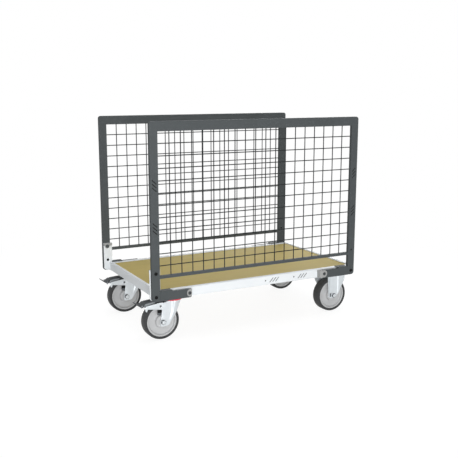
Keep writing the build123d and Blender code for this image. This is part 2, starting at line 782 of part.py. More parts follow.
pad_r = wheel_r + pad_gap
pad_mid = (pad_from + pad_to) / 2
with BuildPart() as brake_pad:
    with BuildSketch(facing_front(wheel_y)):
        with BuildLine():
            ThreePointArc(*[around_swivel_axle(arm_r, turn) for turn in (pad_from, pad_mid, pad_to)])
            Line(around_swivel_axle(arm_r, pad_to), around_swivel_axle(pad_r, pad_to))
            ThreePointArc(*[around_swivel_axle(pad_r, turn) for turn in (pad_to, pad_mid, pad_from)])
            Line(around_swivel_axle(pad_r, pad_from), around_swivel_axle(arm_r, pad_from))
        make_face()
    extrude(amount=pad_w / 2, both=True)
save_pair(brake_pad, "left_brake_pad")

with BuildPart() as pedal_pin:
    with BuildSketch(facing_front(wheel_y)):
        with Locations((pin_x, pin_z)):
            Circle(pedal_pin_d / 2)
    extrude(amount=leg_out, both=True)
    for head_y in (wheel_y - leg_out, wheel_y + leg_out + pedal_pin_head_t):
        with BuildSketch(facing_front(head_y)):
            with Locations((pin_x, pin_z)):
                Circle(pedal_pin_head_d / 2)
        extrude(amount=pedal_pin_head_t)
save_pair(pedal_pin, "left_pedal_pin")

# Fixed bracket: a plate with two legs that lean opposite ways
with BuildPart() as bracket:
    with BuildSketch(Plane.XY.offset(plate_z0)):
        with Locations((fixed_axle_x, wheel_y)):
            RectangleRounded(castor_plate_l, castor_plate_w, castor_plate_r)
            with GridLocations(castor_bolt_x, castor_bolt_y, 2, 2):
                Circle(bolt_hole_d / 2, mode=Mode.SUBTRACT)
    extrude(amount=castor_plate_t)
    for lean, leg_y in ((1, wheel_y - leg_in), (-1, wheel_y + leg_out)):
        with BuildSketch(facing_front(leg_y)) as fixed_leg:
            with BuildLine():
                Polyline(
                    (fixed_axle_x - lean * fixed_leg_back, plate_z0),
                    (fixed_axle_x + lean * fixed_leg_front, plate_z0),
                    (fixed_axle_x + lean * fixed_leg_front, wheel_d - fixed_knee_drop),
                    (fixed_axle_x + lean * fixed_leg_toe, axle_z - leg_foot_drop),
                    (fixed_axle_x - lean * (fixed_leg_back - fixed_leg_taper), axle_z - leg_foot_drop),
                    close=True,
                )
            make_face()
            fillet(fixed_leg.vertices().group_by(Axis.Y)[0], leg_foot_r)
            with Locations((fixed_axle_x, axle_z)):
                Circle(axle_d / 2 + axle_gap, mode=Mode.SUBTRACT)
        extrude(amount=leg_t)
save_pair(bracket, "right_bracket")

# Wheels: a hub that turns on a sleeve, a tyre on the hub, and an axle bolt with its nut
for castor_name, axle_x in (("left", swivel_axle_x), ("right", fixed_axle_x)):
    axle_line = Axis((axle_x, wheel_y, axle_z), (0, 1, 0))
    with BuildPart() as hub:
        with BuildSketch(through_axle(axle_x)):
            with BuildLine():
                Polyline(
                    (0, sleeve_d / 2 + running_gap),
                    (hub_boss_l / 2, sleeve_d / 2 + running_gap),
                    (hub_boss_l / 2, hub_boss_d / 2 - hub_edge),
                    (hub_boss_l / 2 - hub_edge, hub_boss_d / 2),
                    (hub_web_t / 2 + hub_edge, hub_boss_d / 2),
                    (hub_web_t / 2, hub_boss_d / 2 + hub_edge),
                    (hub_web_t / 2, rim_r - hub_rim_t - hub_edge),
                    (hub_web_t / 2 + hub_edge, rim_r - hub_rim_t),
                    (hub_rim_w / 2, rim_r - hub_rim_t),
                    (hub_rim_w / 2, rim_r),
                    (tyre_rib_w / 2, rim_r),
                    (tyre_rib_w / 2, rim_r - tyre_rib_h),
                    (0, rim_r - tyre_rib_h),
                )
                mirror(about=Plane.YZ)
            make_face()
        revolve(axis=axle_line)
    save_pair(hub, f"{castor_name}_hub")

    with BuildPart() as tyre:
        with BuildSketch(through_axle(axle_x)) as tyre_section:
            with Locations((0, rim_r)):
                Rectangle(tyre_w, tyre_depth, align=(Align.CENTER, Align.MIN))
            fillet(tyre_section.vertices().group_by(Axis.Y)[-1], tyre_shoulder)
            with Locations((0, rim_r)):
                Rectangle(tyre_rib_w, tyre_rib_h, align=(Align.CENTER, Align.MAX))
        revolve(axis=axle_line)
    save_pair(tyre, f"{castor_name}_tyre")

    with BuildPart() as axle:
        with BuildSketch(facing_front(wheel_y - leg_out)):
            with Locations((axle_x, axle_z)):
                RegularPolygon(axle_flats / 2, 6, major_radius=False)
        extrude(amount=axle_head_h)
        with BuildSketch(facing_front(wheel_y - leg_out)):
            with Locations((axle_x, axle_z)):
                Circle(axle_d / 2)
        extrude(amount=-2 * leg_out - axle_head_h - axle_tail)
        with BuildSketch(facing_front(wheel_y + leg_out)):
            with Locations((axle_x, axle_z)):
                RegularPolygon(axle_flats / 2, 6, major_radius=False)
                Circle(axle_d / 2 + tapped_gap, mode=Mode.SUBTRACT)
        extrude(amount=-axle_head_h)
        with BuildSketch(facing_front(wheel_y - leg_in)):
            with Locations((axle_x, axle_z)):
                Circle(sleeve_d / 2)
                Circle(axle_d / 2 + axle_gap, mode=Mode.SUBTRACT)
        extrude(amount=-2 * leg_in)
    save_pair(axle, f"{castor_name}_axle")
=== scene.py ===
"""Looks of a mesh-sided platform trolley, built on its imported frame, in metres.

X runs along the deck from the swivel castors (left) to the fixed ones (right), Y from the front
panel to the back one, and Z is up. The sub-assemblies are worked in millimetres from their own
centres and placed in the frame by one matrix each.
"""

import json
import logging
import math
from collections.abc import Callable, Sequence
from dataclasses import dataclass
from enum import Enum

import bmesh
import bpy
from mathutils import Matrix, Vector


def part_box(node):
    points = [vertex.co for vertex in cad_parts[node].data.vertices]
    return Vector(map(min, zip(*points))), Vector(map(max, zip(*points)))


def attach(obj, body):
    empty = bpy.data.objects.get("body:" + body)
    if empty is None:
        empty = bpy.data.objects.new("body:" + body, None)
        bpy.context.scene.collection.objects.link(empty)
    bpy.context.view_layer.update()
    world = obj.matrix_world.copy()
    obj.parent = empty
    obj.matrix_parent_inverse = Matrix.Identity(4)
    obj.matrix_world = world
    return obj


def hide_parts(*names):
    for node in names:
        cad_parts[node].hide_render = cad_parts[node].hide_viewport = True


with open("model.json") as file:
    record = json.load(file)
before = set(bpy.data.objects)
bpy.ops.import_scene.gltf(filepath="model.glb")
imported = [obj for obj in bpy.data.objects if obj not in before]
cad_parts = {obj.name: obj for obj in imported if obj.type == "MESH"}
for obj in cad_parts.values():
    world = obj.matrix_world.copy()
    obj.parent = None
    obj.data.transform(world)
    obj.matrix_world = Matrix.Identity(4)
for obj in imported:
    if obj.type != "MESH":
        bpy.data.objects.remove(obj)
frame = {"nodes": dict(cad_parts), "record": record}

MM = 0.001
# Places work that is measured in the frame's own millimetres
IN_FRAME = Matrix.Scale(MM, 4)
# Edges that turn by more than the first angle are rounded; above the second, shading stays sharp
ROUNDED_ABOVE = math.radians(40.0)
SHARP_ABOVE = math.radians(34.0)
# Values that most of a noise lies between
NOISE_MIDDLE = (0.3, 0.7)
# How far behind a tube's wall the painted shade of its bore, a dark sheet, starts and ends, in millimetres
BORE_SHADE_DEPTH = (0.1, 0.6)

log = logging.getLogger("trolley")

Pair = tuple[float, float]
Point = tuple[float, float, float]
# A corner's two distances, and how far from it the rounding starts; for a hole, its radius
Corner = tuple[float, float, float]
Box = tuple[Vector, Vector]
Tree = bpy.types.NodeTree
Node = bpy.types.Node
Socket = bpy.types.NodeSocket
Vert = bmesh.types.BMVert
Value = Socket | float | str | tuple[float, ...]


class Side(Enum):
    """The trolley's two long sides."""

    FRONT = "front"
    BACK = "back"

    @property
    def outward(self) -> int:
        """Sign of Y on the way out of the trolley."""
        return -1 if self is Side.FRONT else 1

    def face(self, box: Box) -> float:
        """Y of a box's outward face."""
        return box[0].y if self is Side.FRONT else box[1].y


class End(Enum):
    """The trolley's two ends."""

    LEFT = "left"
    RIGHT = "right"


class Turning(Enum):
    """What a turned shape goes round: a level axle or an upright post."""

    AXLE = (0.0, 1.0, 0.0)
    POST = (0.0, 0.0, 1.0)


def box_mm(node: str) -> Box:
    """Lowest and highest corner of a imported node, in millimetres."""
    low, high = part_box(node)
    return low / MM, high / MM


def smooth_step(value: float) -> float:
    """Ease a value from zero to one."""
    held = min(1.0, max(0.0, value))
    return held * held * (3.0 - 2.0 * held)


def mirrored(profile: Sequence[Corner]) -> list[Corner]:
    """Carry a turned profile on past its middle."""
    return [*profile, *((radius, -along, setback) for radius, along, setback in reversed(profile))]


def linear(colour: str) -> tuple[float, float, float, float]:
    """Turn an sRGB hex colour into linear light.

    Args:
        colour: A hash and six hex digits.

    Returns:
        Red, green and blue in linear light, and an alpha of one.
    """
    channels = [int(colour[start:start + 2], 16) / 255 for start in (1, 3, 5)]
    light = [c / 12.92 if c <= 0.04045 else ((c + 0.055) / 1.055) ** 2.4 for c in channels]
    return (light[0], light[1], light[2], 1.0)


def add_node(
    tree: Tree,
    kind: str,
    settings: dict[str, object] | None = None,
    inputs: dict[str | int, Value] | None = None,
) -> Node:
    """Add a node with its settings, and set or link its inputs.

    Args:
        tree: The node tree that the node joins.
        kind: Blender's name for the kind of node.
        settings: Properties of the node.
        inputs: For each input, by name or place, a value or the socket that it is linked to.

    Returns:
        The new node.
    """
    node = tree.nodes.new(kind)
    for name, value in (settings or {}).items():
        setattr(node, name, value)
    for key, value in (inputs or {}).items():
        if isinstance(value, Socket):
            tree.links.new(value, node.inputs[key])
        else:
            node.inputs[key].default_value = value
    return node


def fresh_tree(owner: bpy.types.Material | bpy.types.World) -> Tree:
    """Switch a material or a surround to nodes, and clear them.

    Args:
        owner: The material or the surround.

    Returns:
        Its empty node tree.
    """
    owner.use_nodes = True
    owner.node_tree.nodes.clear()
    return owner.node_tree


def blend(tree: Tree, amount: Socket, first: Value, second: Value) -> Socket:
    """Mix the second of two colours over the first."""
    mix = add_node(tree, "ShaderNodeMix", {"data_type": "RGBA"}, {0: amount, 6: first, 7: second})
    return mix.outputs[2]


def remap(tree: Tree, value: Socket, given: Pair, wanted: Pair, curve: str = "LINEAR") -> Socket:
    """Carry a value from the given range to the wanted one."""
    inputs = dict(zip(("Value", "From Min", "From Max", "To Min", "To Max"), (value, *given, *wanted)))
    return add_node(tree, "ShaderNodeMapRange", {"interpolation_type": curve}, inputs).outputs["Result"]


def bump(tree: Tree, height: Socket, strength: float, rise_mm: float) -> Socket:
    """Raise a surface by a pattern."""
    inputs = {"Height": height, "Strength": strength, "Distance": rise_mm * MM}
    return add_node(tree, "ShaderNodeBump", inputs=inputs).outputs["Normal"]


def per_metre(size_mm: float) -> float:
    """Turn the size of a pattern's repeat, in millimetres, into a texture scale."""
    return 1.0 / (size_mm * MM)


@dataclass(frozen=True)
class Finish:
    """A surface, named for its real material, with the record's slot that it belongs to.

    Attributes:
        name: Common name of the material and how its surface was made.
        slot: Name of the record's material slot.
    """

    name: str
    slot: str

    def material(self) -> bpy.types.Material:
        """Give the finish's material, and make it on first use.

        Returns:
            The one material of this name.
        """
        made = bpy.data.materials.get(self.name)
        if made is None:
            made = bpy.data.materials.new(self.name)
            tree = fresh_tree(made)
            shader = self.shader(tree)
            add_node(tree, "ShaderNodeOutputMaterial", inputs={"Surface": shader.outputs[0]})
        return made

    def shader(self, tree: Tree) -> Node:
        """Build the surface's nodes; each kind of finish has its own."""
        raise NotImplementedError


@dataclass(frozen=True)
class Grained(Finish):
    """A coated, cast or moulded surface: soft clouds of tone under a fine even grain.

    Attributes:
        light: Lighter tone.
        dark: Darker tone.
        cloud_mm: Size of the clouds of tone.
        grain_mm: Size of the grain.
        grain_height_mm: How far the grain stands up.
        roughness: Lowest and highest roughness, which follow the clouds.
        metallic: How much of the surface is bare metal.
        specular: Level of the mirror-like part of a surface that isn't metal.
        sheen: Weight of a dusty sheen.
    """

    light: str
    dark: str
    cloud_mm: float
    grain_mm: float
    grain_height_mm: float
    roughness: Pair
    metallic: float = 0.0
    specular: float = 0.5
    sheen: float = 0.0

    def tone(self, tree: Tree, clouds: Socket) -> Socket:
        """Mix the two tones by the clouds."""
        return blend(tree, clouds, linear(self.dark), linear(self.light))

    def shader(self, tree: Tree) -> Node:
        """Build the clouds, the grain and the shader.

        Args:
            tree: The material's node tree.

        Returns:
            The shader node.
        """
        place = add_node(tree, "ShaderNodeTexCoord").outputs["Object"]
        clouds, grain = (
            add_node(tree, "ShaderNodeTexNoise",
                     inputs={"Vector": place, "Scale": per_metre(size), "Detail": detail}).outputs["Fac"]
            for size, detail in ((self.cloud_mm, 3.0), (self.grain_mm, 2.0))
        )
        return add_node(
            tree, "ShaderNodeBsdfPrincipled",
            inputs={
                "Base Color": self.tone(tree, clouds),
                "Roughness": remap(tree, clouds, NOISE_MIDDLE, self.roughness),
                "Normal": bump(tree, grain, 0.6, self.grain_height_mm), "Metallic": self.metallic,
                "Specular IOR Level": self.specular, "Sheen Weight": self.sheen,
            },
        )


@dataclass(frozen=True)
class Rubber(Grained):
    """Solid rubber: matt and dark, greyer in patches on the crown of the tread.

    Attributes:
        tread_grey: Greyer tone of the tread, which the mesh marks with its tread attribute.
    """

    tread_grey: str = "#4c4d4e"

    def tone(self, tree: Tree, clouds: Socket) -> Socket:
        """Lay the greyer tone over the tread, in patches.

        Args:
            tree: The material's node tree.
            clouds: The noise of the clouds.

        Returns:
            The socket of the mixed colour.
        """
        plain = super().tone(tree, clouds)
        tread = add_node(tree, "ShaderNodeAttribute", {"attribute_name": "tread"}).outputs["Fac"]
        patchy = add_node(tree, "ShaderNodeMath", {"operation": "MULTIPLY"}, {0: tread, 1: clouds})
        return blend(tree, patchy.outputs[0], plain, linear(self.tread_grey))


@dataclass(frozen=True)
class Board(Finish):
    """A sealed wooden board: long fibres along the deck, in quiet bands of two tones.

    Attributes:
        light: Tone of the pale bands.
        dark: Tone of the late-wood bands.
        pore: Tone of the fine pores.
        fibre_mm: Length and width of a fibre.
        band_mm: Length and width of a band.
    """

    light: str
    dark: str
    pore: str
    fibre_mm: Pair
    band_mm: Pair

    def streaks(self, tree: Tree, size_mm: Pair) -> Socket:
        """Draw noise that is stretched along the deck.

        Args:
            tree: The material's node tree.
            size_mm: Length and width of a streak.

        Returns:
            The socket of the noise.
        """
        place = add_node(tree, "ShaderNodeTexCoord").outputs["Object"]
        along, across = (per_metre(size) for size in size_mm)
        stretched = add_node(
            tree, "ShaderNodeMapping", inputs={"Vector": place, "Scale": (along, across, across)})
        noise = add_node(
            tree, "ShaderNodeTexNoise",
            inputs={"Vector": stretched.outputs[0], "Scale": 1.0, "Detail": 3.0, "Distortion": 0.4},
        )
        return noise.outputs["Fac"]

    def shader(self, tree: Tree) -> Node:
        """Build the bands, the fibres, the pores and the shader.

        Args:
            tree: The material's node tree.

        Returns:
            The shader node.
        """
        bands = self.streaks(tree, self.band_mm)
        fibres = self.streaks(tree, self.fibre_mm)
        wood = blend(tree, bands, linear(self.dark), linear(self.light))
        pores = remap(tree, fibres, (0.62, 0.82), (0.0, 0.55))
        return add_node(
            tree, "ShaderNodeBsdfPrincipled",
            inputs={
                "Base Color": blend(tree, pores, wood, linear(self.pore)),
                "Roughness": remap(tree, bands, NOISE_MIDDLE, (0.52, 0.66)),
                "Normal": bump(tree, fibres, 0.5, 0.15), "Specular IOR Level": 0.04,
            },
        )


# Powder coat on steel tube: an even dark grey with a fine orange peel, drawn coarser than it is to show
ANTHRACITE = Grained(
    "powder_coat_anthracite", "anthracite_paint", "#525658", "#4a4e4f", 90.0, 1.6, 0.02, (0.50, 0.60),
    specular=0.05)
# The same coat on the drawn wire, darkened as painted shade for the wires' round, shaded sides
WIRE_COAT_PAINTED_SHADE = Grained(
    "powder_coat_wire_painted_shade", "anthracite_paint", "#303334", "#282b2c", 60.0, 1.2, 0.02, (0.52, 0.62),
    specular=0.05)
# Powder coat on the platform: a cold near-white, satin, with the same peel
LIGHT_GREY = Grained(
    "powder_coat_light_grey", "light_grey_paint", "#e8ecee", "#e1e5e8", 120.0, 1.6, 0.015, (0.38, 0.48),
    specular=0.15)
# Sealed board: a straw brown with long quiet streaks along the deck
DECK_BOARD = Board(
    "plywood_sealed", "deck_wood", "#cab876", "#b9a65f", "#917e46", (70.0, 1.8), (420.0, 16.0))
# Solid rubber, moulded: matt charcoal
TYRE_RUBBER = Rubber(
    "rubber_moulded", "tyre_rubber", "#3b3c3d", "#343536", 24.0, 1.2, 0.05, (0.62, 0.78),
    specular=0.25, sheen=0.05)
# Polyamide, injection moulded: pale grey with a fine spark-eroded grain
HUB_PLASTIC = Grained(
    "polyamide_moulded_grey", "hub_plastic", "#bebfc0", "#b1b2b3", 40.0, 0.9, 0.02, (0.42, 0.52),
    specular=0.3)
# Zinc plate on pressed steel: bright, cold and slightly cloudy from the bath
ZINC = Grained(
    "zinc_plated_pressing", "zinc_steel", "#d7dcdf", "#c8ced2", 26.0, 1.4, 0.012, (0.34, 0.44), metallic=0.5)
# Zinc plate on turned and cold-headed steel: a little darker and sharper
BRIGHT_STEEL = Grained(
    "zinc_plated_fastener", "bare_steel", "#d5d9dc", "#c3c8cb", 8.0, 0.8, 0.01, (0.26, 0.38), metallic=0.7)
# Zinc plate darkened to a dull grey, for bolt heads and brake stop feet; on the flats of nuts it is painted
# shade, and on the tabs beside the fixed castors' nuts painted shadow
DULL_ZINC_AND_PAINTED_SHADE = Grained(
    "zinc_dull_and_painted_shade", "bare_steel", "#5c6063", "#4b4f52", 5.0, 0.6, 0.01, (0.36, 0.48), metallic=0.6)
# Zinc plate on the brake lever, darkened to a mid grey as painted shade under the pedal's cover
LEVER_ZINC_PAINTED_SHADE = Grained(
    "zinc_lever_painted_shade", "bare_steel", "#8c9093", "#727679", 7.0, 0.8, 0.02, (0.38, 0.52),
    metallic=0.4)
# Soft plastic of the dust seal: signal red with a satin skin
SEAL_RED = Grained(
    "elastomer_moulded_red", "seal_red", "#dc3a4c", "#cd2c40", 18.0, 0.8, 0.02, (0.30, 0.40))
# Die casting of the caps: flat mid grey with a shot-blasted skin
CAP_GREY = Grained(
    "zinc_die_cast_blasted", "cap_grey", "#a2a3a2", "#959695", 12.0, 0.7, 0.03, (0.48, 0.60), specular=0.3)
# Black oxide on screws: near black with a dull oily film
BOLT_BLACK = Grained(
    "steel_black_oxide", "bolt_black", "#111213", "#0b0c0d", 6.0, 0.5, 0.01, (0.48, 0.60), specular=0.12)
# Glass-filled polyamide of the pedal: charcoal, lighter than black, with a coarse grip grain
PEDAL_BLACK = Grained(
    "polyamide_moulded_black", "pedal_black", "#3e4144", "#2c2f32", 14.0, 0.9, 0.04, (0.44, 0.56),
    specular=0.4)
# A dark sheet just behind the tubes' walls, seen through their slots and holes: painted shade for the inside
# of the closed tubes
BORE_PAINTED_SHADE = Grained(
    "tube_bore_painted_shade", "bolt_black", "#1d1c1b", "#151413", 20.0, 1.0, 0.02, (0.60, 0.74),
    specular=0.1)
# Rubber of the brake pad, moulded and unworn
PAD_RUBBER = Grained(
    "rubber_brake_pad", "pad_rubber", "#2f3030", "#272828", 8.0, 0.8, 0.05, (0.66, 0.78), specular=0.2)

FINISH_OF_SLOT = {
    finish.slot: finish
    for finish in (
        ANTHRACITE, LIGHT_GREY, DECK_BOARD, TYRE_RUBBER, HUB_PLASTIC, ZINC, BRIGHT_STEEL,
        SEAL_RED, CAP_GREY, BOLT_BLACK, PEDAL_BLACK, PAD_RUBBER,
    )
}


class Workpiece:
    """A mesh under work, in millimetres from the centre of its sub-assembly."""

    def __init__(self) -> None:
        """Start with nothing on the bench."""
        self.mesh = bmesh.new()
        self.lump: bpy.types.Mesh | None = None

    def trace(self, points: Sequence[tuple[Vector, float]], segments: int) -> None:
        """Draw a closed outline with rounded corners.

        Args:
            points: Each corner's place, and how far from it the rounding starts.
            segments: Straight steps in a rounded corner.
        """
        corners = {self.mesh.verts.new(spot): setback for spot, setback in points}
        loop = list(corners)
        for start, stop in zip(loop, loop[1:] + loop[:1]):
            self.mesh.edges.new((start, stop))
        for setback in sorted({size for size in corners.values() if size > 0}):
            chosen = [corner for corner, size in corners.items() if size == setback]
            bmesh.ops.bevel(
                self.mesh, geom=chosen, offset=setback, offset_type="OFFSET", segments=segments,
                profile=0.5, affect="VERTICES", material=-1,
            )

    def drawn_since(self, before: set[Vert]) -> tuple[list[Vert], list[bmesh.types.BMEdge]]:
        """Find the points and lines that aren't among the earlier points."""
        verts = [vert for vert in self.mesh.verts if vert not in before]
        return verts, list(dict.fromkeys(edge for vert in verts for edge in vert.link_edges))

    def turn(
        self, profile: Sequence[Corner], about: Turning, centre: Point = (0.0, 0.0, 0.0), steps: int = 40
    ) -> None:
        """Turn a closed profile into a ring.

        Args:
            profile: Radius, distance along the axis and corner setback of each point.
            about: What the profile goes round.
            centre: Point on the axis that the profile is measured from.
            steps: Straight steps in a full turn.
        """
        before = set(self.mesh.verts)
        middle, axis = Vector(centre), Vector(about.value)
        self.trace(
            [(middle + Vector((radius, 0.0, 0.0)) + axis * along, setback)
             for radius, along, setback in profile],
            segments=4,
        )
        verts, edges = self.drawn_since(before)
        bmesh.ops.spin(
            self.mesh, geom=verts + edges, cent=middle, axis=axis, dvec=(0.0, 0.0, 0.0),
            angle=math.tau, steps=steps, use_merge=True,
        )

    def plate(
        self, outline: Sequence[Corner], across: Pair, holes: Sequence[Corner] = (), rim: float = 0.6
    ) -> None:
        """Cut an upright plate, with round holes and eased rims.

        Args:
            outline: Distance along, height and corner setback of each corner.
            across: The plate's two faces.
            holes: Distance along, height and radius of each hole.
            rim: Width of the easing on the rims.
        """
        before = set(self.mesh.verts)
        self.trace([(Vector((along, across[0], up)), setback) for along, up, setback in outline], segments=5)
        for along, up, radius in holes:
            upright = Matrix.Translation((along, across[0], up)) @ Matrix.Rotation(math.pi / 2, 4, "X")
            bmesh.ops.create_circle(self.mesh, cap_ends=False, radius=radius, segments=20, matrix=upright)
        edges = self.drawn_since(before)[1]
        filled = bmesh.ops.triangle_fill(
            self.mesh, use_beauty=True, edges=edges, normal=(0.0, -1.0, 0.0))
        faces = [item for item in filled["geom"] if isinstance(item, bmesh.types.BMFace)]
        grown = bmesh.ops.extrude_face_region(self.mesh, geom=faces)
        moved = [item for item in grown["geom"] if isinstance(item, Vert)]
        bmesh.ops.translate(self.mesh, verts=moved, vec=(0.0, across[1] - across[0], 0.0))
        self.round_edges(before, rim, 2)

    def round_edges(self, before: set[Vert], width: float, segments: int) -> None:
        """Round the sharp edges of what was added last.

        Args:
            before: The earlier points, whose edges stay.
            width: Width of the rounding on each face.
            segments: Straight steps in the rounding.
        """
        edges = [
            edge for edge in self.mesh.edges
            if edge.is_manifold and edge.calc_face_angle(0.0) > ROUNDED_ABOVE
            and not before.intersection(edge.verts)
        ]
        bmesh.ops.bevel(
            self.mesh, geom=edges, offset=width, offset_type="OFFSET", segments=segments,
            profile=0.5, affect="EDGES", material=-1, clamp_overlap=False,
        )

    def block(self, low: Point, high: Point, rim: float) -> None:
        """Add a block with rounded edges.

        Args:
            low: Lowest corner.
            high: Highest corner.
            rim: Width of the rounding.
        """
        before = set(self.mesh.verts)
        size = Vector(high) - Vector(low)
        place = Matrix.Translation((Vector(high) + Vector(low)) / 2) @ Matrix.Diagonal((*size, 1.0))
        bmesh.ops.create_cube(self.mesh, size=1.0, matrix=place)
        self.round_edges(before, rim, 3)

    def paint_bore_shade(self, side: Side, tube: Box, wall: float, along: Pair, up: Pair) -> None:
        """Paint shade into a tube's bore, as a dark sheet just behind its outer wall.

        Args:
            side: The long side that the tube is at.
            tube: The tube's box.
            wall: Thickness of its wall.
            along: Where the dark starts and ends along the deck.
            up: Where it starts and ends in height.
        """
        near, far = sorted(side.face(tube) - side.outward * (wall + depth) for depth in BORE_SHADE_DEPTH)
        self.block((along[0], near, up[0]), (along[1], far, up[1]), 0.1)

    def hexagon(self, flats: float, across: Pair, rim: float) -> None:
        """Add a hexagon head or nut about the axle.

        Args:
            flats: Width across flats.
            across: The hexagon's two faces.
            rim: Width of the chamfer.
        """
        radius = flats / math.sqrt(3.0)
        turns = [math.radians(60.0 * step + 15.0) for step in range(6)]
        outline = [(radius * math.cos(turn), radius * math.sin(turn), 0.0) for turn in turns]
        self.plate(outline, across, rim=rim)

    def nugget(self, centre: Point, radii: Point) -> None:
        """Add a small lump of weld, as a copy of the first one.

        Args:
            centre: The lump's middle.
            radii: Its radii along X, Y and Z.
        """
        if self.lump is None:
            shape = bmesh.new()
            bmesh.ops.create_uvsphere(shape, u_segments=8, v_segments=5, radius=1.0)
            self.lump = bpy.data.meshes.new("lump")
            shape.to_mesh(self.lump)
            shape.free()
        copy = self.lump.copy()
        copy.transform(Matrix.Translation(centre) @ Matrix.Diagonal((*radii, 1.0)))
        self.mesh.from_mesh(copy)
        bpy.data.meshes.remove(copy)

    def seam(self, start: Vector, stop: Vector, radius: float, pitch: float) -> None:
        """Lay a weld as a row of overlapping lumps.

        Args:
            start: First lump's middle.
            stop: Last lump's middle.
            radius: Radius of the lumps.
            pitch: Step from lump to lump.
        """
        count = max(1, round((stop - start).length / pitch))
        for step in range(count + 1):
            self.nugget(tuple(start.lerp(stop, step / count)), (radius, radius, radius))

    def slice_up(self, along: tuple[float, float, float], up: float) -> None:
        """Cut the mesh into a grid, so that it can be formed.

        Args:
            along: First and last upright cut, and the step between them.
            up: Step between the level cuts.
        """
        heights = [vert.co.z for vert in self.mesh.verts]
        first, last, step = along
        columns = int((last - first) / step)
        rows = int((max(heights) - min(heights)) // up)
        cuts = [((first + step * cut, 0.0, 0.0), (1.0, 0.0, 0.0)) for cut in range(columns + 1)]
        cuts += [((0.0, 0.0, min(heights) + up * row), (0.0, 0.0, 1.0)) for row in range(1, rows + 1)]
        for point, normal in cuts:
            everything = self.mesh.verts[:] + self.mesh.edges[:] + self.mesh.faces[:]
            bmesh.ops.bisect_plane(
                self.mesh, geom=everything, dist=0.01, plane_co=point, plane_no=normal)

    def form(self, rise: Callable[[float, float], float]) -> None:
        """Press the mesh across its plane, by a rise at each distance along and height."""
        for vert in self.mesh.verts:
            vert.co.y += rise(vert.co.x, vert.co.z)

    def take(self, other: "Workpiece", place: Matrix) -> None:
        """Add another workpiece's mesh, and clear the other.

        Args:
            other: The workpiece that is used up.
            place: Where it goes.
        """
        spare = bpy.data.meshes.new("spare")
        bmesh.ops.transform(other.mesh, matrix=place, verts=other.mesh.verts)
        other.mesh.to_mesh(spare)
        other.mesh.free()
        self.mesh.from_mesh(spare)
        bpy.data.meshes.remove(spare)

    def mark(self, name: str, amount: Callable[[Vector], float]) -> None:
        """Write a number on every point, for a finish to read.

        Args:
            name: The attribute's name.
            amount: Gives the number at a place.
        """
        layer = self.mesh.verts.layers.float.new(name)
        for vert in self.mesh.verts:
            vert[layer] = amount(vert.co)

    def finish(
        self,
        name: str,
        finish: Finish,
        stands_for: Sequence[str] = (),
        body: str = "frame",
        place: Matrix = IN_FRAME,
    ) -> None:
        """Turn the work into a piece of the trolley.

        Args:
            name: The piece's name.
            finish: Its surface.
            stands_for: The nodes that it replaces.
            body: The body that it rides on.
            place: Where it goes in the frame.
        """
        bmesh.ops.transform(self.mesh, matrix=place, verts=self.mesh.verts)
        bmesh.ops.recalc_face_normals(self.mesh, faces=self.mesh.faces)
        mesh = bpy.data.meshes.new(name)
        self.mesh.to_mesh(mesh)
        self.mesh.free()
        if self.lump is not None:
            bpy.data.meshes.remove(self.lump)
        mesh.shade_smooth()
        mesh.set_sharp_from_angle(angle=SHARP_ABOVE)
        mesh.materials.append(finish.material())
        piece = bpy.data.objects.new(name, mesh)
        bpy.context.scene.collection.objects.link(piece)
        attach(piece, body)
        if stands_for:
            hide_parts(*stands_for)
        log.info("%s: %d faces on %s", name, len(mesh.polygons), body)


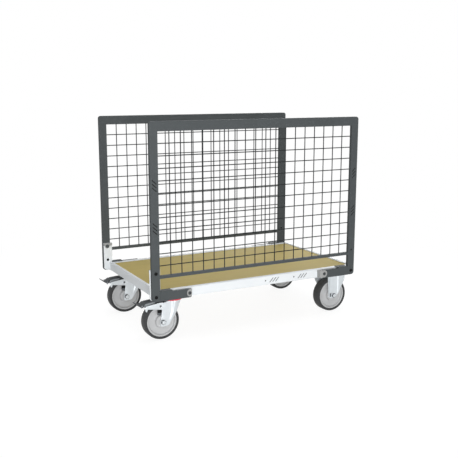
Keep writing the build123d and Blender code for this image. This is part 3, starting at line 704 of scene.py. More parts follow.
@dataclass
class Castor:
    """What every castor has: its place, its wheel and its axle, measured from the axle's middle.

    Attributes:
        side: The long side that it stands at.
        end: The end that it stands at.
        leg_in: Distance from the wheel's middle to the inside of a leg.
        leg_t: Thickness of a leg.
        boss_r: Radius of the hub's boss.
        boss_half: Half the length of the boss.
        bore_r: Radius of the hub's bore.
        rim_r: Radius of the hub's rim.
        rim_half: Half the width of the rim.
        web_half: Half the thickness of the web.
        axle_flats: Width across flats of the axle's head and nut.
        axle_head_h: Height of the head and the nut.
        washer_r: Radius of the axle's washers.
        washer_t: Thickness of the washers.
    """

    side: Side
    end: End
    leg_in: float = 28.5
    leg_t: float = 4.0
    boss_r: float = 28.0
    boss_half: float = 27.0
    bore_r: float = 8.3
    rim_r: float = 67.6
    rim_half: float = 21.6
    web_half: float = 12.0
    axle_flats: float = 19.0
    axle_head_h: float = 10.0
    washer_r: float = 13.0
    washer_t: float = 1.6

    def __post_init__(self) -> None:
        """Take the wheel's place and size from the frame."""
        low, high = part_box(f"{self.label}_tyre")
        self.centre = (low + high) / 2
        self.wheel_r = (high.z - low.z) / 2 / MM
        self.tyre_half = (high.y - low.y) / 2 / MM

    @property
    def label(self) -> str:
        """Name of this corner of the trolley."""
        return f"{self.side.value}_{self.end.value}"

    @property
    def leg_out(self) -> float:
        """Distance from the wheel's middle to the outside of a leg."""
        return self.leg_in + self.leg_t

    @property
    def seat_out(self) -> float:
        """Distance from the wheel's middle to the faces that the axle's washers sit on."""
        return self.leg_out

    @property
    def place(self) -> Matrix:
        """Matrix from millimetres along, outward and up from the axle to the frame."""
        scale = Matrix.Diagonal((MM, self.side.outward * MM, MM, 1.0))
        return Matrix.Translation(self.centre) @ scale

    def put(self, work: Workpiece, piece: str, body: str, finish: Finish, *nodes: str) -> None:
        """Set a piece at this corner, in place of the nodes that it stands for."""
        stands_for = [f"{self.label}_{node}" for node in nodes]
        work.finish(f"{self.label}_{piece}", finish, stands_for, body, self.place)

    def build_tyre(self) -> None:
        """Turn the tyre: a lip on the rim, bulged walls, and a tread with two fine grooves."""
        top, half = self.wheel_r, self.tyre_half
        rim, seat = self.rim_r, self.rim_half
        wall = [
            (rim - 4.0, seat - 3.0, 0.0), (rim + 0.2, seat - 2.0, 0.0), (rim + 0.6, seat + 0.4, 0.5),
            (rim + 3.0, half - 0.6, 1.6), (rim + 5.2, half, 1.6), (top - 0.9, half - 1.8, 4.6),
            (top - 0.35, 16.2, 0.3), (top - 1.1, 15.8, 0.2), (top - 1.1, 15.0, 0.2), (top - 0.3, 14.6, 0.3),
            (top, 0.5, 0.0),
        ]
        work = Workpiece()
        work.turn(mirrored(wall), Turning.AXLE, steps=128)
        work.mark("tread", lambda spot: smooth_step((math.hypot(spot.x, spot.z) - top + 3.0) / 2.5))
        self.put(work, "solid_tyre", f"{self.label}_wheel", TYRE_RUBBER, "tyre")

    def build_hub(self) -> None:
        """Turn the hub: a boss, a thin web, a sloped inner wall and a rim with a rounded lip."""
        boss, end, web = self.boss_r, self.boss_half, self.web_half
        rim, lip = self.rim_r, self.rim_half
        face = [
            (self.bore_r, end, 0.4), (boss - 2.2, end, 1.2), (boss, end - 2.2, 1.2),
            (boss + 0.8, web + 2.4, 1.4), (boss + 3.6, web + 0.2, 1.8), (rim - 17.0, web - 0.4, 0.0),
            (rim - 9.0, web + 0.6, 3.0), (rim - 6.6, lip - 0.6, 1.2), (rim - 5.2, lip, 0.8),
            (rim - 0.6, lip, 0.5), (rim, lip - 0.8, 0.3), (rim - 0.2, lip - 3.0, 0.0),
            (rim - 4.4, lip - 3.4, 0.0),
        ]
        work = Workpiece()
        work.turn(mirrored(face), Turning.AXLE, steps=128)
        self.put(work, "moulded_hub", f"{self.label}_wheel", HUB_PLASTIC, "hub")

    def build_axle(self, body: str) -> None:
        """Make the axle: a sleeve between the legs, washers, and a bolt with bright ends and nuts darkened
        as painted shade.

        Args:
            body: The body that the axle rides on.
        """
        inner, outer = self.seat_out - self.leg_t, self.seat_out
        seat = outer + self.washer_t
        face = seat + self.axle_head_h
        wide = self.washer_r
        washer = [(6.0, outer, 0.0), (wide, outer, 0.2), (wide, seat, 0.4), (6.0, seat, 0.0)]
        ring = [(5.6, face - 0.5, 0.0), (8.4, face - 0.5, 0.0), (8.4, face + 0.5, 0.4),
                (5.6, face + 0.5, 0.2)]
        stub = [(0.8, face - 1.0, 0.0), (5.7, face - 1.0, 0.0), (5.7, face + 1.6, 0.8),
                (0.8, face + 1.8, 0.0)]
        bolt, nuts = Workpiece(), Workpiece()
        bolt.turn(mirrored([(8.0, inner, 0.3), (6.0, inner, 0.0)]), Turning.AXLE)
        for out in (1.0, -1.0):
            for profile in (washer, ring, stub):
                facing = [(radius, out * along, setback) for radius, along, setback in profile]
                bolt.turn(facing, Turning.AXLE)
            nuts.hexagon(self.axle_flats, (out * seat, out * face), 0.9)
        self.put(bolt, "axle_bolt", body, BRIGHT_STEEL, "axle")
        self.put(nuts, "axle_nuts", body, DULL_ZINC_AND_PAINTED_SHADE)

    def build_wheel(self, axle_body: str) -> None:
        """Build the wheel and its axle.

        Args:
            axle_body: The body that the axle rides on.
        """
        self.build_tyre()
        self.build_hub()
        self.build_axle(axle_body)


@dataclass
class SwivelCastor(Castor):
    """A castor that swivels behind its kingpin, with a brake pedal between the legs of its fork.

    Attributes:
        trail: How far the kingpin is ahead of the axle.
        crown_r: Radius of the fork's round crown.
        crown_t: Thickness of the crown.
        leg_top: Height of the legs' upper edge, under the dust seal.
        crease: Where a leg's neck starts: height of its bend, distance along there, slopes above and below.
        neck_edge: Where the neck ends, likewise.
        guard_hole: Distance along, height and radius of the hole in a leg's brake guard.
        stop_in: Distance from the wheel's middle to the inside of a brake stop.
        stop_x: Where the brake stops start and end, along the leg.
        stop_z: Foot and head of a brake stop.
        stop_foot_z: Foot and head of the steel below it.
        pedal_half: Half the width of the pedal.
        lever_half: Half the width of the steel lever under it.
        pin_at: Middle of the pedal's pin.
        rib_count: Number of grip ribs on the pedal.
        rib_from: Where the first rib starts.
        rib_pitch: Step from rib to rib.
    """

    trail: float = 55.0
    crown_r: float = 42.0
    crown_t: float = 6.0
    leg_top: float = 89.0
    crease: tuple[float, float, float, float] = (44.0, 39.0, 0.02, 0.278)
    neck_edge: tuple[float, float, float, float] = (35.0, 64.0, 0.411, 0.709)
    guard_hole: Corner = (-9.0, 70.0, 4.6)
    stop_in: float = 20.5
    stop_x: Pair = (-21.0, -4.0)
    stop_z: Pair = (40.0, 51.0)
    stop_foot_z: Pair = (31.0, 40.4)
    pedal_half: float = 20.0
    lever_half: float = 21.0
    pin_at: Point = (4.0, 0.0, 88.0)
    rib_count: int = 6
    rib_from: float = -34.0
    rib_pitch: float = 6.2

    @property
    def fork_body(self) -> str:
        """Name of the body that swivels."""
        return f"{self.side.value}_swivel_fork"

    @property
    def crown_top(self) -> float:
        """Height of the crown above the axle."""
        return (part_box(f"{self.label}_fork")[1].z - self.centre.z) / MM

    def leg_outline(self) -> list[Corner]:
        """Give the outline of a fork leg with its brake guard.

        Returns:
            Distance along, height and setback of each corner, from the axle.
        """
        return [
            (86.2, self.leg_top, 0.0), (64.0, 35.0, 9.0), (25.0, -20.0, 11.0), (-13.0, -20.0, 10.0),
            (-3.0, 54.6, 4.0), (-67.0, 63.6, 3.0), (-71.5, 52.5, 1.5), (-76.0, 54.0, 2.0),
            (-80.0, 68.0, 4.0), (-76.0, 77.0, 4.0), (-14.0, 86.0, 6.0), (14.0, 85.2, 2.0),
            (20.0, 85.8, 2.0), (24.5, self.leg_top, 1.5),
        ]

    def leg_rise(self, along: float, up: float) -> float:
        """Say how far a leg's sheet stands out: flat to a crease, then round the kingpin like a neck.

        Args:
            along: Distance ahead of the axle.
            up: Height above the axle.

        Returns:
            Distance outward.
        """
        start, stop = (
            at + (above if up > bend else below) * (up - bend)
            for bend, at, above, below in (self.crease, self.neck_edge)
        )
        past = (along - start) / (stop - start)
        if past <= 0:
            return 0.0
        round_neck = self.crown_r * math.sqrt(max(0.0, 1.0 - ((past - 0.3125) / 0.875) ** 2)) - self.leg_out
        fade = max(0.0, (up + 5.0) / 98.0)
        return fade * smooth_step(past / 0.32) * max(-4.0, round_neck)

    def build_fork(self) -> None:
        """Press the fork: two legs with a rounded neck and guards, under a round crown."""
        fork, stops, feet = Workpiece(), Workpiece(), Workpiece()
        for outward in (1.0, -1.0):
            leg = Workpiece()
            leg.plate(self.leg_outline(), (self.leg_in, self.leg_out), [self.guard_hole], rim=0.8)
            leg.slice_up((18.0, 86.0, 2.5), 8.0)
            leg.form(self.leg_rise)
            fork.take(leg, Matrix.Diagonal((1.0, outward, 1.0, 1.0)))
            low, high = sorted((outward * self.stop_in, outward * self.leg_in))
            for work, (foot, head), rim in ((stops, self.stop_z, 1.5), (feet, self.stop_foot_z, 1.0)):
                work.block((self.stop_x[0], low, foot), (self.stop_x[1], high, head), rim)
        top, under, outer = self.crown_top, self.crown_top - self.crown_t, self.crown_r
        fork.turn(
            [(6.2, under - 1.0, 0.0), (outer - 4.0, under - 1.0, 1.5), (outer, under + 1.5, 1.5),
             (outer, top - 1.6, 1.0), (outer - 2.0, top, 1.0), (6.2, top, 0.0)],
            Turning.POST, (self.trail, 0.0, 0.0), steps=80,
        )
        self.put(fork, "pressed_fork", self.fork_body, ZINC, "fork")
        self.put(stops, "brake_stops", self.fork_body, BOLT_BLACK)
        self.put(feet, "brake_stop_feet", self.fork_body, DULL_ZINC_AND_PAINTED_SHADE)

    def build_brake(self) -> None:
        """Make the brake: a black foot pedal with grip ribs, on a wider steel lever."""
        body = f"{self.side.value}_brake"
        half = self.pedal_half
        cover = Workpiece()
        outline = [
            (11.0, 93.0, 2.0), (-27.0, 93.6, 6.0), (-55.0, 91.4, 6.0), (-71.0, 89.2, 1.0),
            (-75.0, 90.0, 1.5), (-80.0, 87.5, 1.5), (-84.0, 84.0, 2.0), (-98.0, 80.0, 4.0),
            (-115.0, 91.0, 1.2), (-116.0, 88.0, 0.8), (-98.0, 75.0, 3.0), (-86.0, 69.0, 3.0),
            (-80.0, 73.0, 2.0), (-77.0, 83.0, 2.0), (-70.0, 85.2, 1.5), (-55.0, 87.4, 4.0),
            (-38.0, 88.4, 1.0), (-33.0, 82.0, 2.0), (11.0, 81.0, 2.0),
        ]
        cover.plate(outline, (-half, half), rim=1.2)
        for rib in range(self.rib_count):
            start = self.rib_from - self.rib_pitch * rib
            height = 92.9 + 0.06 * (start - self.rib_from)
            cover.block((start - 2.6, -half + 3.0, height - 3.0), (start, half - 3.0, height + 0.9), 0.5)
        eye = [(3.1, -21.0, 0.0), (6.0, -21.0, 0.6), (6.0, 21.0, 0.6), (3.1, 21.0, 0.0)]
        cover.turn(eye, Turning.AXLE, self.pin_at, steps=32)
        self.put(cover, "foot_pedal", body, PEDAL_BLACK, "brake_pedal")
        # The lever is darker zinc: painted shade under the pedal's cover.
        lever = Workpiece()
        arm_r = self.wheel_r + 4.5
        turns = [math.radians(turn) for turn in (43.0, 36.0, 28.0, 20.0)]
        arc = [(-arm_r * math.sin(turn), arm_r * math.cos(turn), 0.0) for turn in turns]
        lever.plate([(-29.0, 89.6, 0.0), (-40.0, 89.2, 0.0), (-55.0, 88.2, 0.0), (-72.0, 85.6, 2.0),
                     (-78.0, 78.0, 3.0), (-76.0, 68.0, 3.0), *arc],
                    (-self.lever_half, self.lever_half), rim=0.8)
        rivet = [(0.6, -21.5, 0.0), (3.4, -21.5, 0.9), (3.4, 21.5, 0.9), (0.6, 21.5, 0.0)]
        lever.turn(rivet, Turning.AXLE, (-88.0, 0.0, 77.0), steps=24)
        self.put(lever, "brake_lever", body, LEVER_ZINC_PAINTED_SHADE)

    def build_pin(self) -> None:
        """Turn the pedal's pin, with low round heads on the outsides of the legs."""
        out = self.leg_out
        head = [(0.6, out + 1.8, 0.0), (3.8, out + 1.6, 0.8), (4.4, out, 0.3), (3.0, out, 0.2)]
        pin = Workpiece()
        pin.turn(mirrored(head), Turning.AXLE, self.pin_at, steps=32)
        self.put(pin, "pedal_rivet", self.fork_body, BOLT_BLACK, "pedal_pin")

    def build(self) -> None:
        """Build the whole castor."""
        self.build_wheel(self.fork_body)
        self.build_fork()
        self.build_brake()
        self.build_pin()


@dataclass
class FixedCastor(Castor):
    """A castor that can't swivel: a plate with two legs that lean opposite ways.

    Attributes:
        plate_half: Half the plate's length and width.
        plate_t: Thickness of the plate.
        band_at: Where the legs' raised bands start, ahead of the axle.
        band_ramp: How long a band's slope is.
        band: How far the bands stand out.
        swell: How far the legs' faces stand out between the bands and the trailing lips.
        step_at: Where the faces step in to the trailing lips, behind the axle.
        tuck: How far the trailing lips lie behind the plain sheet, beside the hub and beside the tyre.
        shadow_tab_x: Where the dark tab beside the axle nut starts and ends, along the leg; the tab is
            painted shadow of the nut.
        shadow_tab_z: Its foot and head.
    """

    plate_half: Pair = (63.0, 55.0)
    plate_t: float = 4.0
    band_at: float = 20.5
    band_ramp: float = 6.0
    band: float = 3.0
    swell: float = 3.0
    step_at: float = 20.5
    tuck: Pair = (1.0, 3.0)
    shadow_tab_x: Pair = (-20.4, -14.6)
    shadow_tab_z: Pair = (-5.5, 11.5)
    axle_head_h: float = 8.0
    washer_r: float = 10.6

    @property
    def seat_out(self) -> float:
        """Distance from the wheel's middle to the faces that the axle's washers sit on."""
        return self.leg_out + self.swell

    @property
    def plate_top(self) -> float:
        """Height of the plate's upper face above the axle."""
        return (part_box(f"{self.label}_bracket")[1].z - self.centre.z) / MM

    def leg_rise(self, along: float, up: float) -> float:
        """Say how far a leg's sheet stands out, from its trailing lip to its leading band.

        Args:
            along: Distance ahead of the axle, on the side that the leg leans to.
            up: Height above the axle.

        Returns:
            Distance outward.
        """
        raised = self.band * smooth_step((along - self.band_at) / self.band_ramp)
        falling = 0.06 * max(0.0, along - self.band_at - self.band_ramp)
        beside_hub, beside_tyre = self.tuck
        tuck = beside_hub + (beside_tyre - beside_hub) * smooth_step((up - 38.0) / 14.0)
        turned_in = (self.swell + tuck) * smooth_step((-along - self.step_at) / 1.5)
        return self.swell + raised - falling - turned_in

    def build(self) -> None:
        """Build the whole castor."""
        self.build_wheel("frame")
        top = self.plate_top
        under = top - self.plate_t
        outline = [(63.0, under, 0.0), (63.0, 73.0, 8.0), (14.5, -12.5, 11.0), (-24.5, -12.5, 9.0),
                   (-28.5, under, 0.0)]
        bracket, nut_shadow_tabs = Workpiece(), Workpiece()
        for outward in (1.0, -1.0):
            turned = Matrix.Diagonal((outward, outward, 1.0, 1.0))
            leg, shadow_tab = Workpiece(), Workpiece()
            leg.plate(outline, (self.leg_in, self.leg_out), rim=0.8)
            leg.slice_up((-28.0, 32.0, 1.5), 8.0)
            leg.form(self.leg_rise)
            bracket.take(leg, turned)
            foot, head = (Vector((outward * x, outward * self.seat_out, under)) for x in (-16.0, 22.0))
            bracket.seam(foot, head, 2.2, 2.4)
            # A thin dark tab on each leg, left of the axle nut: painted shadow of the nut.
            shadow_tab.block((self.shadow_tab_x[0], self.seat_out - 0.4, self.shadow_tab_z[0]),
                      (self.shadow_tab_x[1], self.seat_out + 2.0, self.shadow_tab_z[1]), 0.6)
            nut_shadow_tabs.take(shadow_tab, turned)
        long_half, wide_half = self.plate_half
        bracket.block((-long_half, -wide_half, under), (long_half, wide_half, top), 1.0)
        self.put(bracket, "pressed_bracket", "frame", ZINC, "bracket")
        self.put(nut_shadow_tabs, "nut_painted_shadow_tabs", "frame", DULL_ZINC_AND_PAINTED_SHADE)


@dataclass
class SidePanel:
    """Welds of a mesh panel, and painted shade in the bores of its uprights, in the frame's own millimetres.

    Attributes:
        side: The long side that it stands at.
        pitch: Distance between the mesh's wires.
        head_gap: From the top of the opening to the highest level wire.
        wire_d: Diameter of a wire.
        wall: Thickness of the tubes' walls.
        slots_z: Stretch of the uprights that has slots.
        hole_z: Stretch of the right uprights that has an empty bolt hole.
        end_weld: Radii of the weld at an upright wire's end; a level wire's has them the other way round.
        cross_weld: Radii of the weld where two wires cross.
        foot_weld: Radius and pitch of the lumps that weld a foot arm to its upright.
    """

    side: Side
    pitch: float = 50.0
    head_gap: float = 48.0
    wire_d: float = 4.2
    wall: float = 1.5
    slots_z: Pair = (460.0, 710.0)
    hole_z: Pair = (300.5, 320.5)
    end_weld: Point = (3.3, 2.9, 2.2)
    cross_weld: Point = (2.3, 1.5, 2.3)
    foot_weld: Pair = (2.4, 2.2)

    def build_bore_shades(self) -> None:
        """Paint shade into the bores of the uprights, as a dark sheet behind their slots and holes."""
        bore_shades = Workpiece()
        for end, stretches in ((End.LEFT, [self.slots_z]), (End.RIGHT, [self.slots_z, self.hole_z])):
            tube = box_mm(f"{self.side.value}_{end.value}_upright")
            for up in stretches:
                bore_shades.paint_bore_shade(self.side, tube, self.wall, (tube[0].x + 2.0, tube[1].x - 2.0), up)
        bore_shades.finish(f"{self.side.value}_upright_bores", BORE_PAINTED_SHADE)

    def build_welds(self) -> None:
        """Weld the wires to the frame and to each other, and the feet to the uprights."""
        low, high = box_mm(f"{self.side.value}_mesh")
        out = self.side.outward
        middle_y = (low.y + high.y) / 2
        upright_y = middle_y + out * self.wire_d / 2
        level_y = middle_y - out * self.wire_d / 2
        columns = int((high.x - low.x) // self.pitch) - 1
        first = (low.x + high.x) / 2 - self.pitch * (columns - 1) / 2
        across = [first + self.pitch * column for column in range(columns)]
        rows = int((high.z - self.head_gap - low.z) // self.pitch) + 1
        heights = [high.z - self.head_gap - self.pitch * row for row in range(rows)]
        welds = Workpiece()
        for x in across:
            for z in (low.z, high.z):
                welds.nugget((x, upright_y, z), self.end_weld)
            for z in heights:
                welds.nugget((x, middle_y, z), self.cross_weld)
        for z in heights:
            for x in (low.x, high.x):
                welds.nugget((x, level_y, z), self.end_weld[::-1])
        for end in End:
            arm = box_mm(f"{self.side.value}_{end.value}_foot_arm")
            x = arm[0].x if end is End.LEFT else arm[1].x
            y = self.side.face(arm) - out * 5.0
            start, stop = Vector((x, y, arm[0].z + 3.0)), Vector((x, y, arm[1].z - 8.0))
            welds.seam(start, stop, *self.foot_weld)
        welds.finish(f"{self.side.value}_panel_welds", ANTHRACITE)

    def build(self) -> None:
        """Build the welds and the painted shade in the bores."""
        self.build_welds()
        self.build_bore_shades()


@dataclass
class Platform:
    """Small fittings of the platform, in the frame's own millimetres.

    Attributes:
        seal_r: Outer radius of a dust seal.
        seal_foot: Height of the seals' lower lip.
        arm_bolt_x: Where the bolts of the arm caps are, along the deck.
        arm_head_h: Height of those bolts' heads over the caps.
        collar_r: Inner and outer radius of the collar round such a bolt.
        plate_left: Left edge of the front corner plate, past its upright, and of the back one, short of it.
        plate_past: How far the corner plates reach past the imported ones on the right.
        foot_r: Setback of the corner plates' lower corners.
        hole: Height and radius of the empty hole in a corner plate, and how far right of the bolt it is.
        lobe: Height of the bolt at the top of a corner plate, and radius of the cap's lobe round it.
        rail_wall: Thickness of the side rails' walls.
        slots_x: Stretch of the side rails that has holes and slots.
    """

    seal_r: float = 45.0
    seal_foot: float = 169.6
    arm_bolt_x: Pair = (-326.0, 360.0)
    arm_head_h: float = 4.7
    collar_r: Pair = (7.3, 10.4)
    plate_left: Pair = (-498.5, -492.5)
    plate_past: float = 4.0
    foot_r: float = 13.0
    hole: tuple[float, float, float] = (242.5, 6.3, 3.0)
    lobe: Pair = (310.5, 11.0)
    rail_wall: float = 2.0
    slots_x: Pair = (40.0, 310.0)

    def build_seals(self, castors: Sequence[SwivelCastor]) -> None:
        """Turn the dust seals, each with a lip that reaches down round the fork's crown.

        Args:
            castors: The castors that they belong to.
        """
        head = box_mm("dust_seals")[1].z
        foot, outer = self.seal_foot, self.seal_r
        profile = [
            (outer - 2.4, foot, 0.3), (outer, foot, 0.9), (outer, foot + 6.0, 1.2),
            (outer - 1.4, foot + 7.4, 0.8), (outer - 1.4, head - 3.0, 0.8), (outer - 0.4, head, 0.6),
            (outer - 5.0, head, 0.5), (outer - 5.0, foot + 6.0, 0.5), (outer - 2.4, foot + 4.6, 0.3),
        ]
        seals = Workpiece()
        for castor in castors:
            axle = castor.centre / MM
            seals.turn(profile, Turning.POST, (axle.x + castor.trail, axle.y, 0.0), steps=96)
        seals.finish("dust_seal_rings", SEAL_RED, ["dust_seals"])

    def build_collars(self) -> None:
        """Turn the low collars round the bolts of the arm caps, and the bolts' zinc-plated heads."""
        low, high = box_mm("arm_caps")
        up = (low.z + high.z) / 2
        inner, outer = self.collar_r
        collars, heads = Workpiece(), Workpiece()
        for face, out in ((low.y, -1.0), (high.y, 1.0)):
            rise = out * self.arm_head_h
            collar = [(inner, -0.4 * out, 0.0), (outer, -0.4 * out, 0.0), (outer, 1.2 * out, 0.6),
                      (inner, 1.2 * out, 0.4)]
            head = [(2.9, 0.0, 0.0), (7.2, 0.0, 0.0), (7.2, rise - 2.4 * out, 0.0), (4.9, rise, 1.2),
                    (2.9, rise, 0.2)]
            for along in self.arm_bolt_x:
                collars.turn(collar, Turning.AXLE, (along, face, up))
                heads.turn(head, Turning.AXLE, (along, face, up))
        collars.finish("arm_cap_collars", CAP_GREY)
        heads.finish("arm_bolt_heads", DULL_ZINC_AND_PAINTED_SHADE)

    def build_corner_plates(self) -> None:
        """Cut the corner plates with eased rims, and their caps with a lobe and a cover over the nut; a
        black disc in each empty hole is painted shade.
        """
        caps, covers, hole_shades = Workpiece(), Workpiece(), Workpiece()
        nut_z, lobe_r = self.lobe
        hole_z, hole_r, hole_right = self.hole
        band, foot = nut_z + 1.0, nut_z - lobe_r
        for side, left in zip(Side, self.plate_left):
            low, high = box_mm(f"{side.value}_corner_plate")
            bolt_x = (low.x + high.x) / 2
            hole_x = bolt_x + hole_right
            lobe_x0, lobe_x1 = bolt_x - lobe_r, bolt_x + lobe_r
            right = high.x + self.plate_past
            out = side.outward
            back, face = sorted((abs(low.y), abs(high.y)), reverse=True)
            plate = Workpiece()
            plate.plate(
                [(left, low.z, self.foot_r), (right, low.z, self.foot_r), (right, high.z, 2.0),
                 (left, high.z, 2.0)],
                (out * back, out * (face - 0.3)), [(hole_x, hole_z, hole_r)], rim=0.7,
            )
            plate.finish(
                f"{side.value}_eased_corner_plate", LIGHT_GREY, [f"{side.value}_corner_plate"])
            caps.plate(
                [(left, band, 2.0), (lobe_x0, band, 0.0), (lobe_x0, foot, lobe_r - 0.1),
                 (lobe_x1, foot, lobe_r - 0.1), (lobe_x1, band, 0.0), (right, band, 2.0),
                 (right, high.z, 3.0), (left, high.z, 3.0)],
                (out * face, out * (face - 5.0)), rim=0.9,
            )
            cover = [(0.8, -out * 5.0, 0.0), (8.2, -out * 5.0, 0.0), (8.2, -out * 10.5, 1.6),
                     (6.0, -out * 13.0, 1.6), (0.8, -out * 13.2, 0.0)]
            covers.turn(cover, Turning.AXLE, (bolt_x, out * face, nut_z))
            # A black disc fills the empty hole: painted shade for its inside.
            hole_shade = [(0.8, -out * 0.2, 0.0), (hole_r + 0.2, -out * 0.2, 0.0), (hole_r + 0.2, -out * 6.6, 0.5),
                    (0.8, -out * 7.0, 0.0)]
            hole_shades.turn(hole_shade, Turning.AXLE, (hole_x, out * back, hole_z), steps=32)
        caps.finish("plate_cap_lobes", CAP_GREY, ["plate_caps"])
        covers.finish("corner_nut_covers", ANTHRACITE)
        hole_shades.finish("corner_hole_painted_shade", BOLT_BLACK)

    def build_bore_shades(self) -> None:
        """Paint shade into the bores of the side rails, as a dark sheet behind their holes and slots."""
        bore_shades = Workpiece()
        for side in Side:
            tube = box_mm(f"{side.value}_side_rail")
            bore_shades.paint_bore_shade(side, tube, self.rail_wall, self.slots_x, (tube[0].z + 2.5, tube[1].z - 2.5))
        bore_shades.finish("rail_bore_painted_shade", BORE_PAINTED_SHADE)

    def build(self, castors: Sequence[SwivelCastor]) -> None:
        """Build the painted shade in the rails' bores, the seals, the collars and the corner plates.

        Args:
            castors: The castors that the seals belong to.
        """
        self.build_bore_shades()
        self.build_seals(castors)
        self.build_collars()
        self.build_corner_plates()


def dress_nodes() -> None:
    """Give every node of the frame its finish, by the record's material slots."""
    for part in frame["record"]["subparts"]:
        node = frame["nodes"][part["node"]]
        # The mesh's wires take the darker coat, which is painted shade for their round sides.
        finish = WIRE_COAT_PAINTED_SHADE if part["node"].endswith("_mesh") else FINISH_OF_SLOT[part["material_slot"]]
        node.data.materials.clear()
        node.data.materials.append(finish.material())


@dataclass(frozen=True)
class Lamp:
    """A soft box, aimed at the trolley.

    Attributes:
        name: What it is for.
        watts: Its power.
        place: Where it stands.
        size: Its width and height.
    """

    name: str
    watts: float
    place: Point
    size: Pair

    def stand(self) -> None:
        """Set the lamp up."""
        light = bpy.data.lights.new(self.name, "AREA")
        light.shape = "RECTANGLE"
        light.size, light.size_y = self.size
        light.energy = self.watts
        lamp = bpy.data.objects.new(self.name, light)
        lamp.location = self.place
        aim = Vector((0.0, 0.0, 0.3)) - Vector(self.place)
        lamp.rotation_euler = aim.to_track_quat("-Z", "Y").to_euler()
        bpy.context.scene.collection.objects.link(lamp)


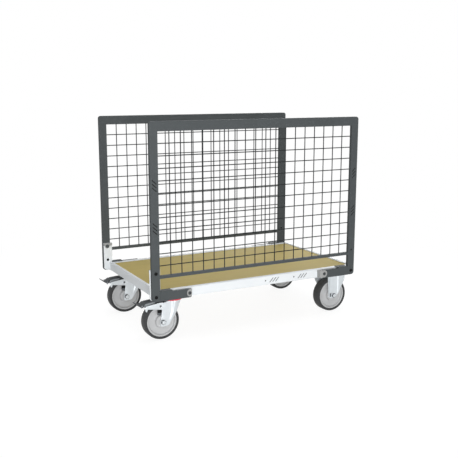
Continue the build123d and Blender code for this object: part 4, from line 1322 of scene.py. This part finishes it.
@dataclass
class Studio:
    """A pale floor, soft lamps, a white surround and the camera.

    Attributes:
        camera_at: The camera's place, in metres.
        camera_turn: Its tilt and its turn, in degrees.
        lens: Its focal length in millimetres, on a 36 mm sensor.
        floor_r: Radius of the floor.
        floor_tone: The floor's tone as the object is lit by it.
        shadow_tone: Its tone where it is seen, which shows the shadow over the glow.
        floor_glow: Strength of the glow.
        shadow_r: Where the floor's shadows start to fade into the surround, and where they end.
        ambient: Strength of the surround as a light.
        lamps: The soft boxes.
    """

    camera_at: Point = (-1.5834, -3.0364, 1.0598)
    camera_turn: Pair = (90.0 - 10.892, -27.974)
    lens: float = 57.96
    floor_r: float = 14.0
    floor_tone: str = "#e6e6e6"
    shadow_tone: str = "#787878"
    floor_glow: float = 0.9
    shadow_r: Pair = (0.9, 2.0)
    ambient: float = 0.24
    lamps: tuple[Lamp, ...] = (
        Lamp("key", 31.0, (-0.7, -4.2, 1.5), (2.8, 2.8)),
        Lamp("low_front", 20.0, (0.3, -4.0, 0.45), (3.0, 0.8)),
        Lamp("low_left", 74.0, (-1.9, -3.5, 0.4), (1.6, 0.7)),
        Lamp("overhead", 50.0, (0.0, -0.3, 3.7), (3.0, 3.0)),
        Lamp("back_fill", 80.0, (2.6, 3.6, 1.4), (2.6, 2.6)),
    )

    def seen_directly(self, tree: Tree) -> Socket:
        """Tell the rays that show the surround from those that only light the object.

        Args:
            tree: The tree that asks.

        Returns:
            A socket that is one for camera, glossy and transmitted rays.
        """
        rays = add_node(tree, "ShaderNodeLightPath").outputs
        seen = rays["Is Camera Ray"]
        for kind in ("Is Glossy Ray", "Is Transmission Ray"):
            both = add_node(tree, "ShaderNodeMath", {"operation": "MAXIMUM"}, {0: seen, 1: rays[kind]})
            seen = both.outputs[0]
        return seen

    def build_world(self) -> None:
        """Make the surround: white to look at, dimmer as a light."""
        world = bpy.data.worlds.new("studio")
        tree = fresh_tree(world)
        strength = remap(tree, self.seen_directly(tree), (0.0, 1.0), (self.ambient, 1.0))
        light = add_node(tree, "ShaderNodeBackground",
                         inputs={"Color": linear("#ffffff"), "Strength": strength})
        add_node(tree, "ShaderNodeOutputWorld", inputs={"Surface": light.outputs[0]})
        bpy.context.scene.world = world

    def paint_floor(self) -> bpy.types.Material:
        """Make a paint that looks white and still takes the object's shadow.

        Returns:
            The floor's material.
        """
        paint = bpy.data.materials.new("studio_floor")
        tree = fresh_tree(paint)
        plain, soft = (
            add_node(tree, "ShaderNodeBsdfDiffuse", inputs={"Color": linear(tone)}).outputs[0]
            for tone in (self.floor_tone, self.shadow_tone)
        )
        glow, far = (
            add_node(tree, "ShaderNodeEmission",
                     inputs={"Color": linear("#ffffff"), "Strength": strength}).outputs[0]
            for strength in (self.floor_glow, 1.0)
        )
        near = add_node(tree, "ShaderNodeAddShader", inputs={0: soft, 1: glow})
        place = add_node(tree, "ShaderNodeTexCoord").outputs["Object"]
        reach = add_node(tree, "ShaderNodeVectorMath", {"operation": "LENGTH"}, {0: place})
        fade = remap(tree, reach.outputs["Value"], self.shadow_r, (0.0, 1.0), "SMOOTHSTEP")
        bright = add_node(tree, "ShaderNodeMixShader", inputs={0: fade, 1: near.outputs[0], 2: far})
        mix = add_node(tree, "ShaderNodeMixShader",
                       inputs={0: self.seen_directly(tree), 1: plain, 2: bright.outputs[0]})
        add_node(tree, "ShaderNodeOutputMaterial", inputs={"Surface": mix.outputs[0]})
        return paint

    def build_floor(self) -> None:
        """Lay a round floor."""
        shape = bmesh.new()
        bmesh.ops.create_circle(shape, cap_ends=True, radius=self.floor_r, segments=96)
        mesh = bpy.data.meshes.new("floor")
        shape.to_mesh(mesh)
        shape.free()
        mesh.materials.append(self.paint_floor())
        floor = bpy.data.objects.new("floor", mesh)
        bpy.context.scene.collection.objects.link(floor)

    def build_camera(self) -> None:
        """Stand the camera where the photograph was taken from."""
        lens = bpy.data.cameras.new("camera")
        lens.lens = self.lens
        lens.sensor_width = 36.0
        camera = bpy.data.objects.new("camera", lens)
        tilt, turn = self.camera_turn
        camera.location = self.camera_at
        camera.rotation_euler = (math.radians(tilt), 0.0, math.radians(turn))
        bpy.context.scene.collection.objects.link(camera)
        bpy.context.scene.camera = camera

    def build(self) -> None:
        """Build the surround, the floor, the lamps and the camera."""
        self.build_world()
        self.build_floor()
        for lamp in self.lamps:
            lamp.stand()
        self.build_camera()
        bpy.context.scene.view_settings.view_transform = "Standard"


def main() -> None:
    """Build the sub-assemblies in order, and the studio round them."""
    logging.basicConfig(level=logging.INFO, format="%(name)s: %(message)s")
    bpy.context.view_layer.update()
    dress_nodes()
    swivels = [SwivelCastor(side, End.LEFT) for side in Side]
    for castor in [*swivels, *(FixedCastor(side, End.RIGHT) for side in Side)]:
        castor.build()
    for side in Side:
        SidePanel(side).build()
    Platform().build(swivels)
    Studio().build()


if __name__ == "__main__":
    main()
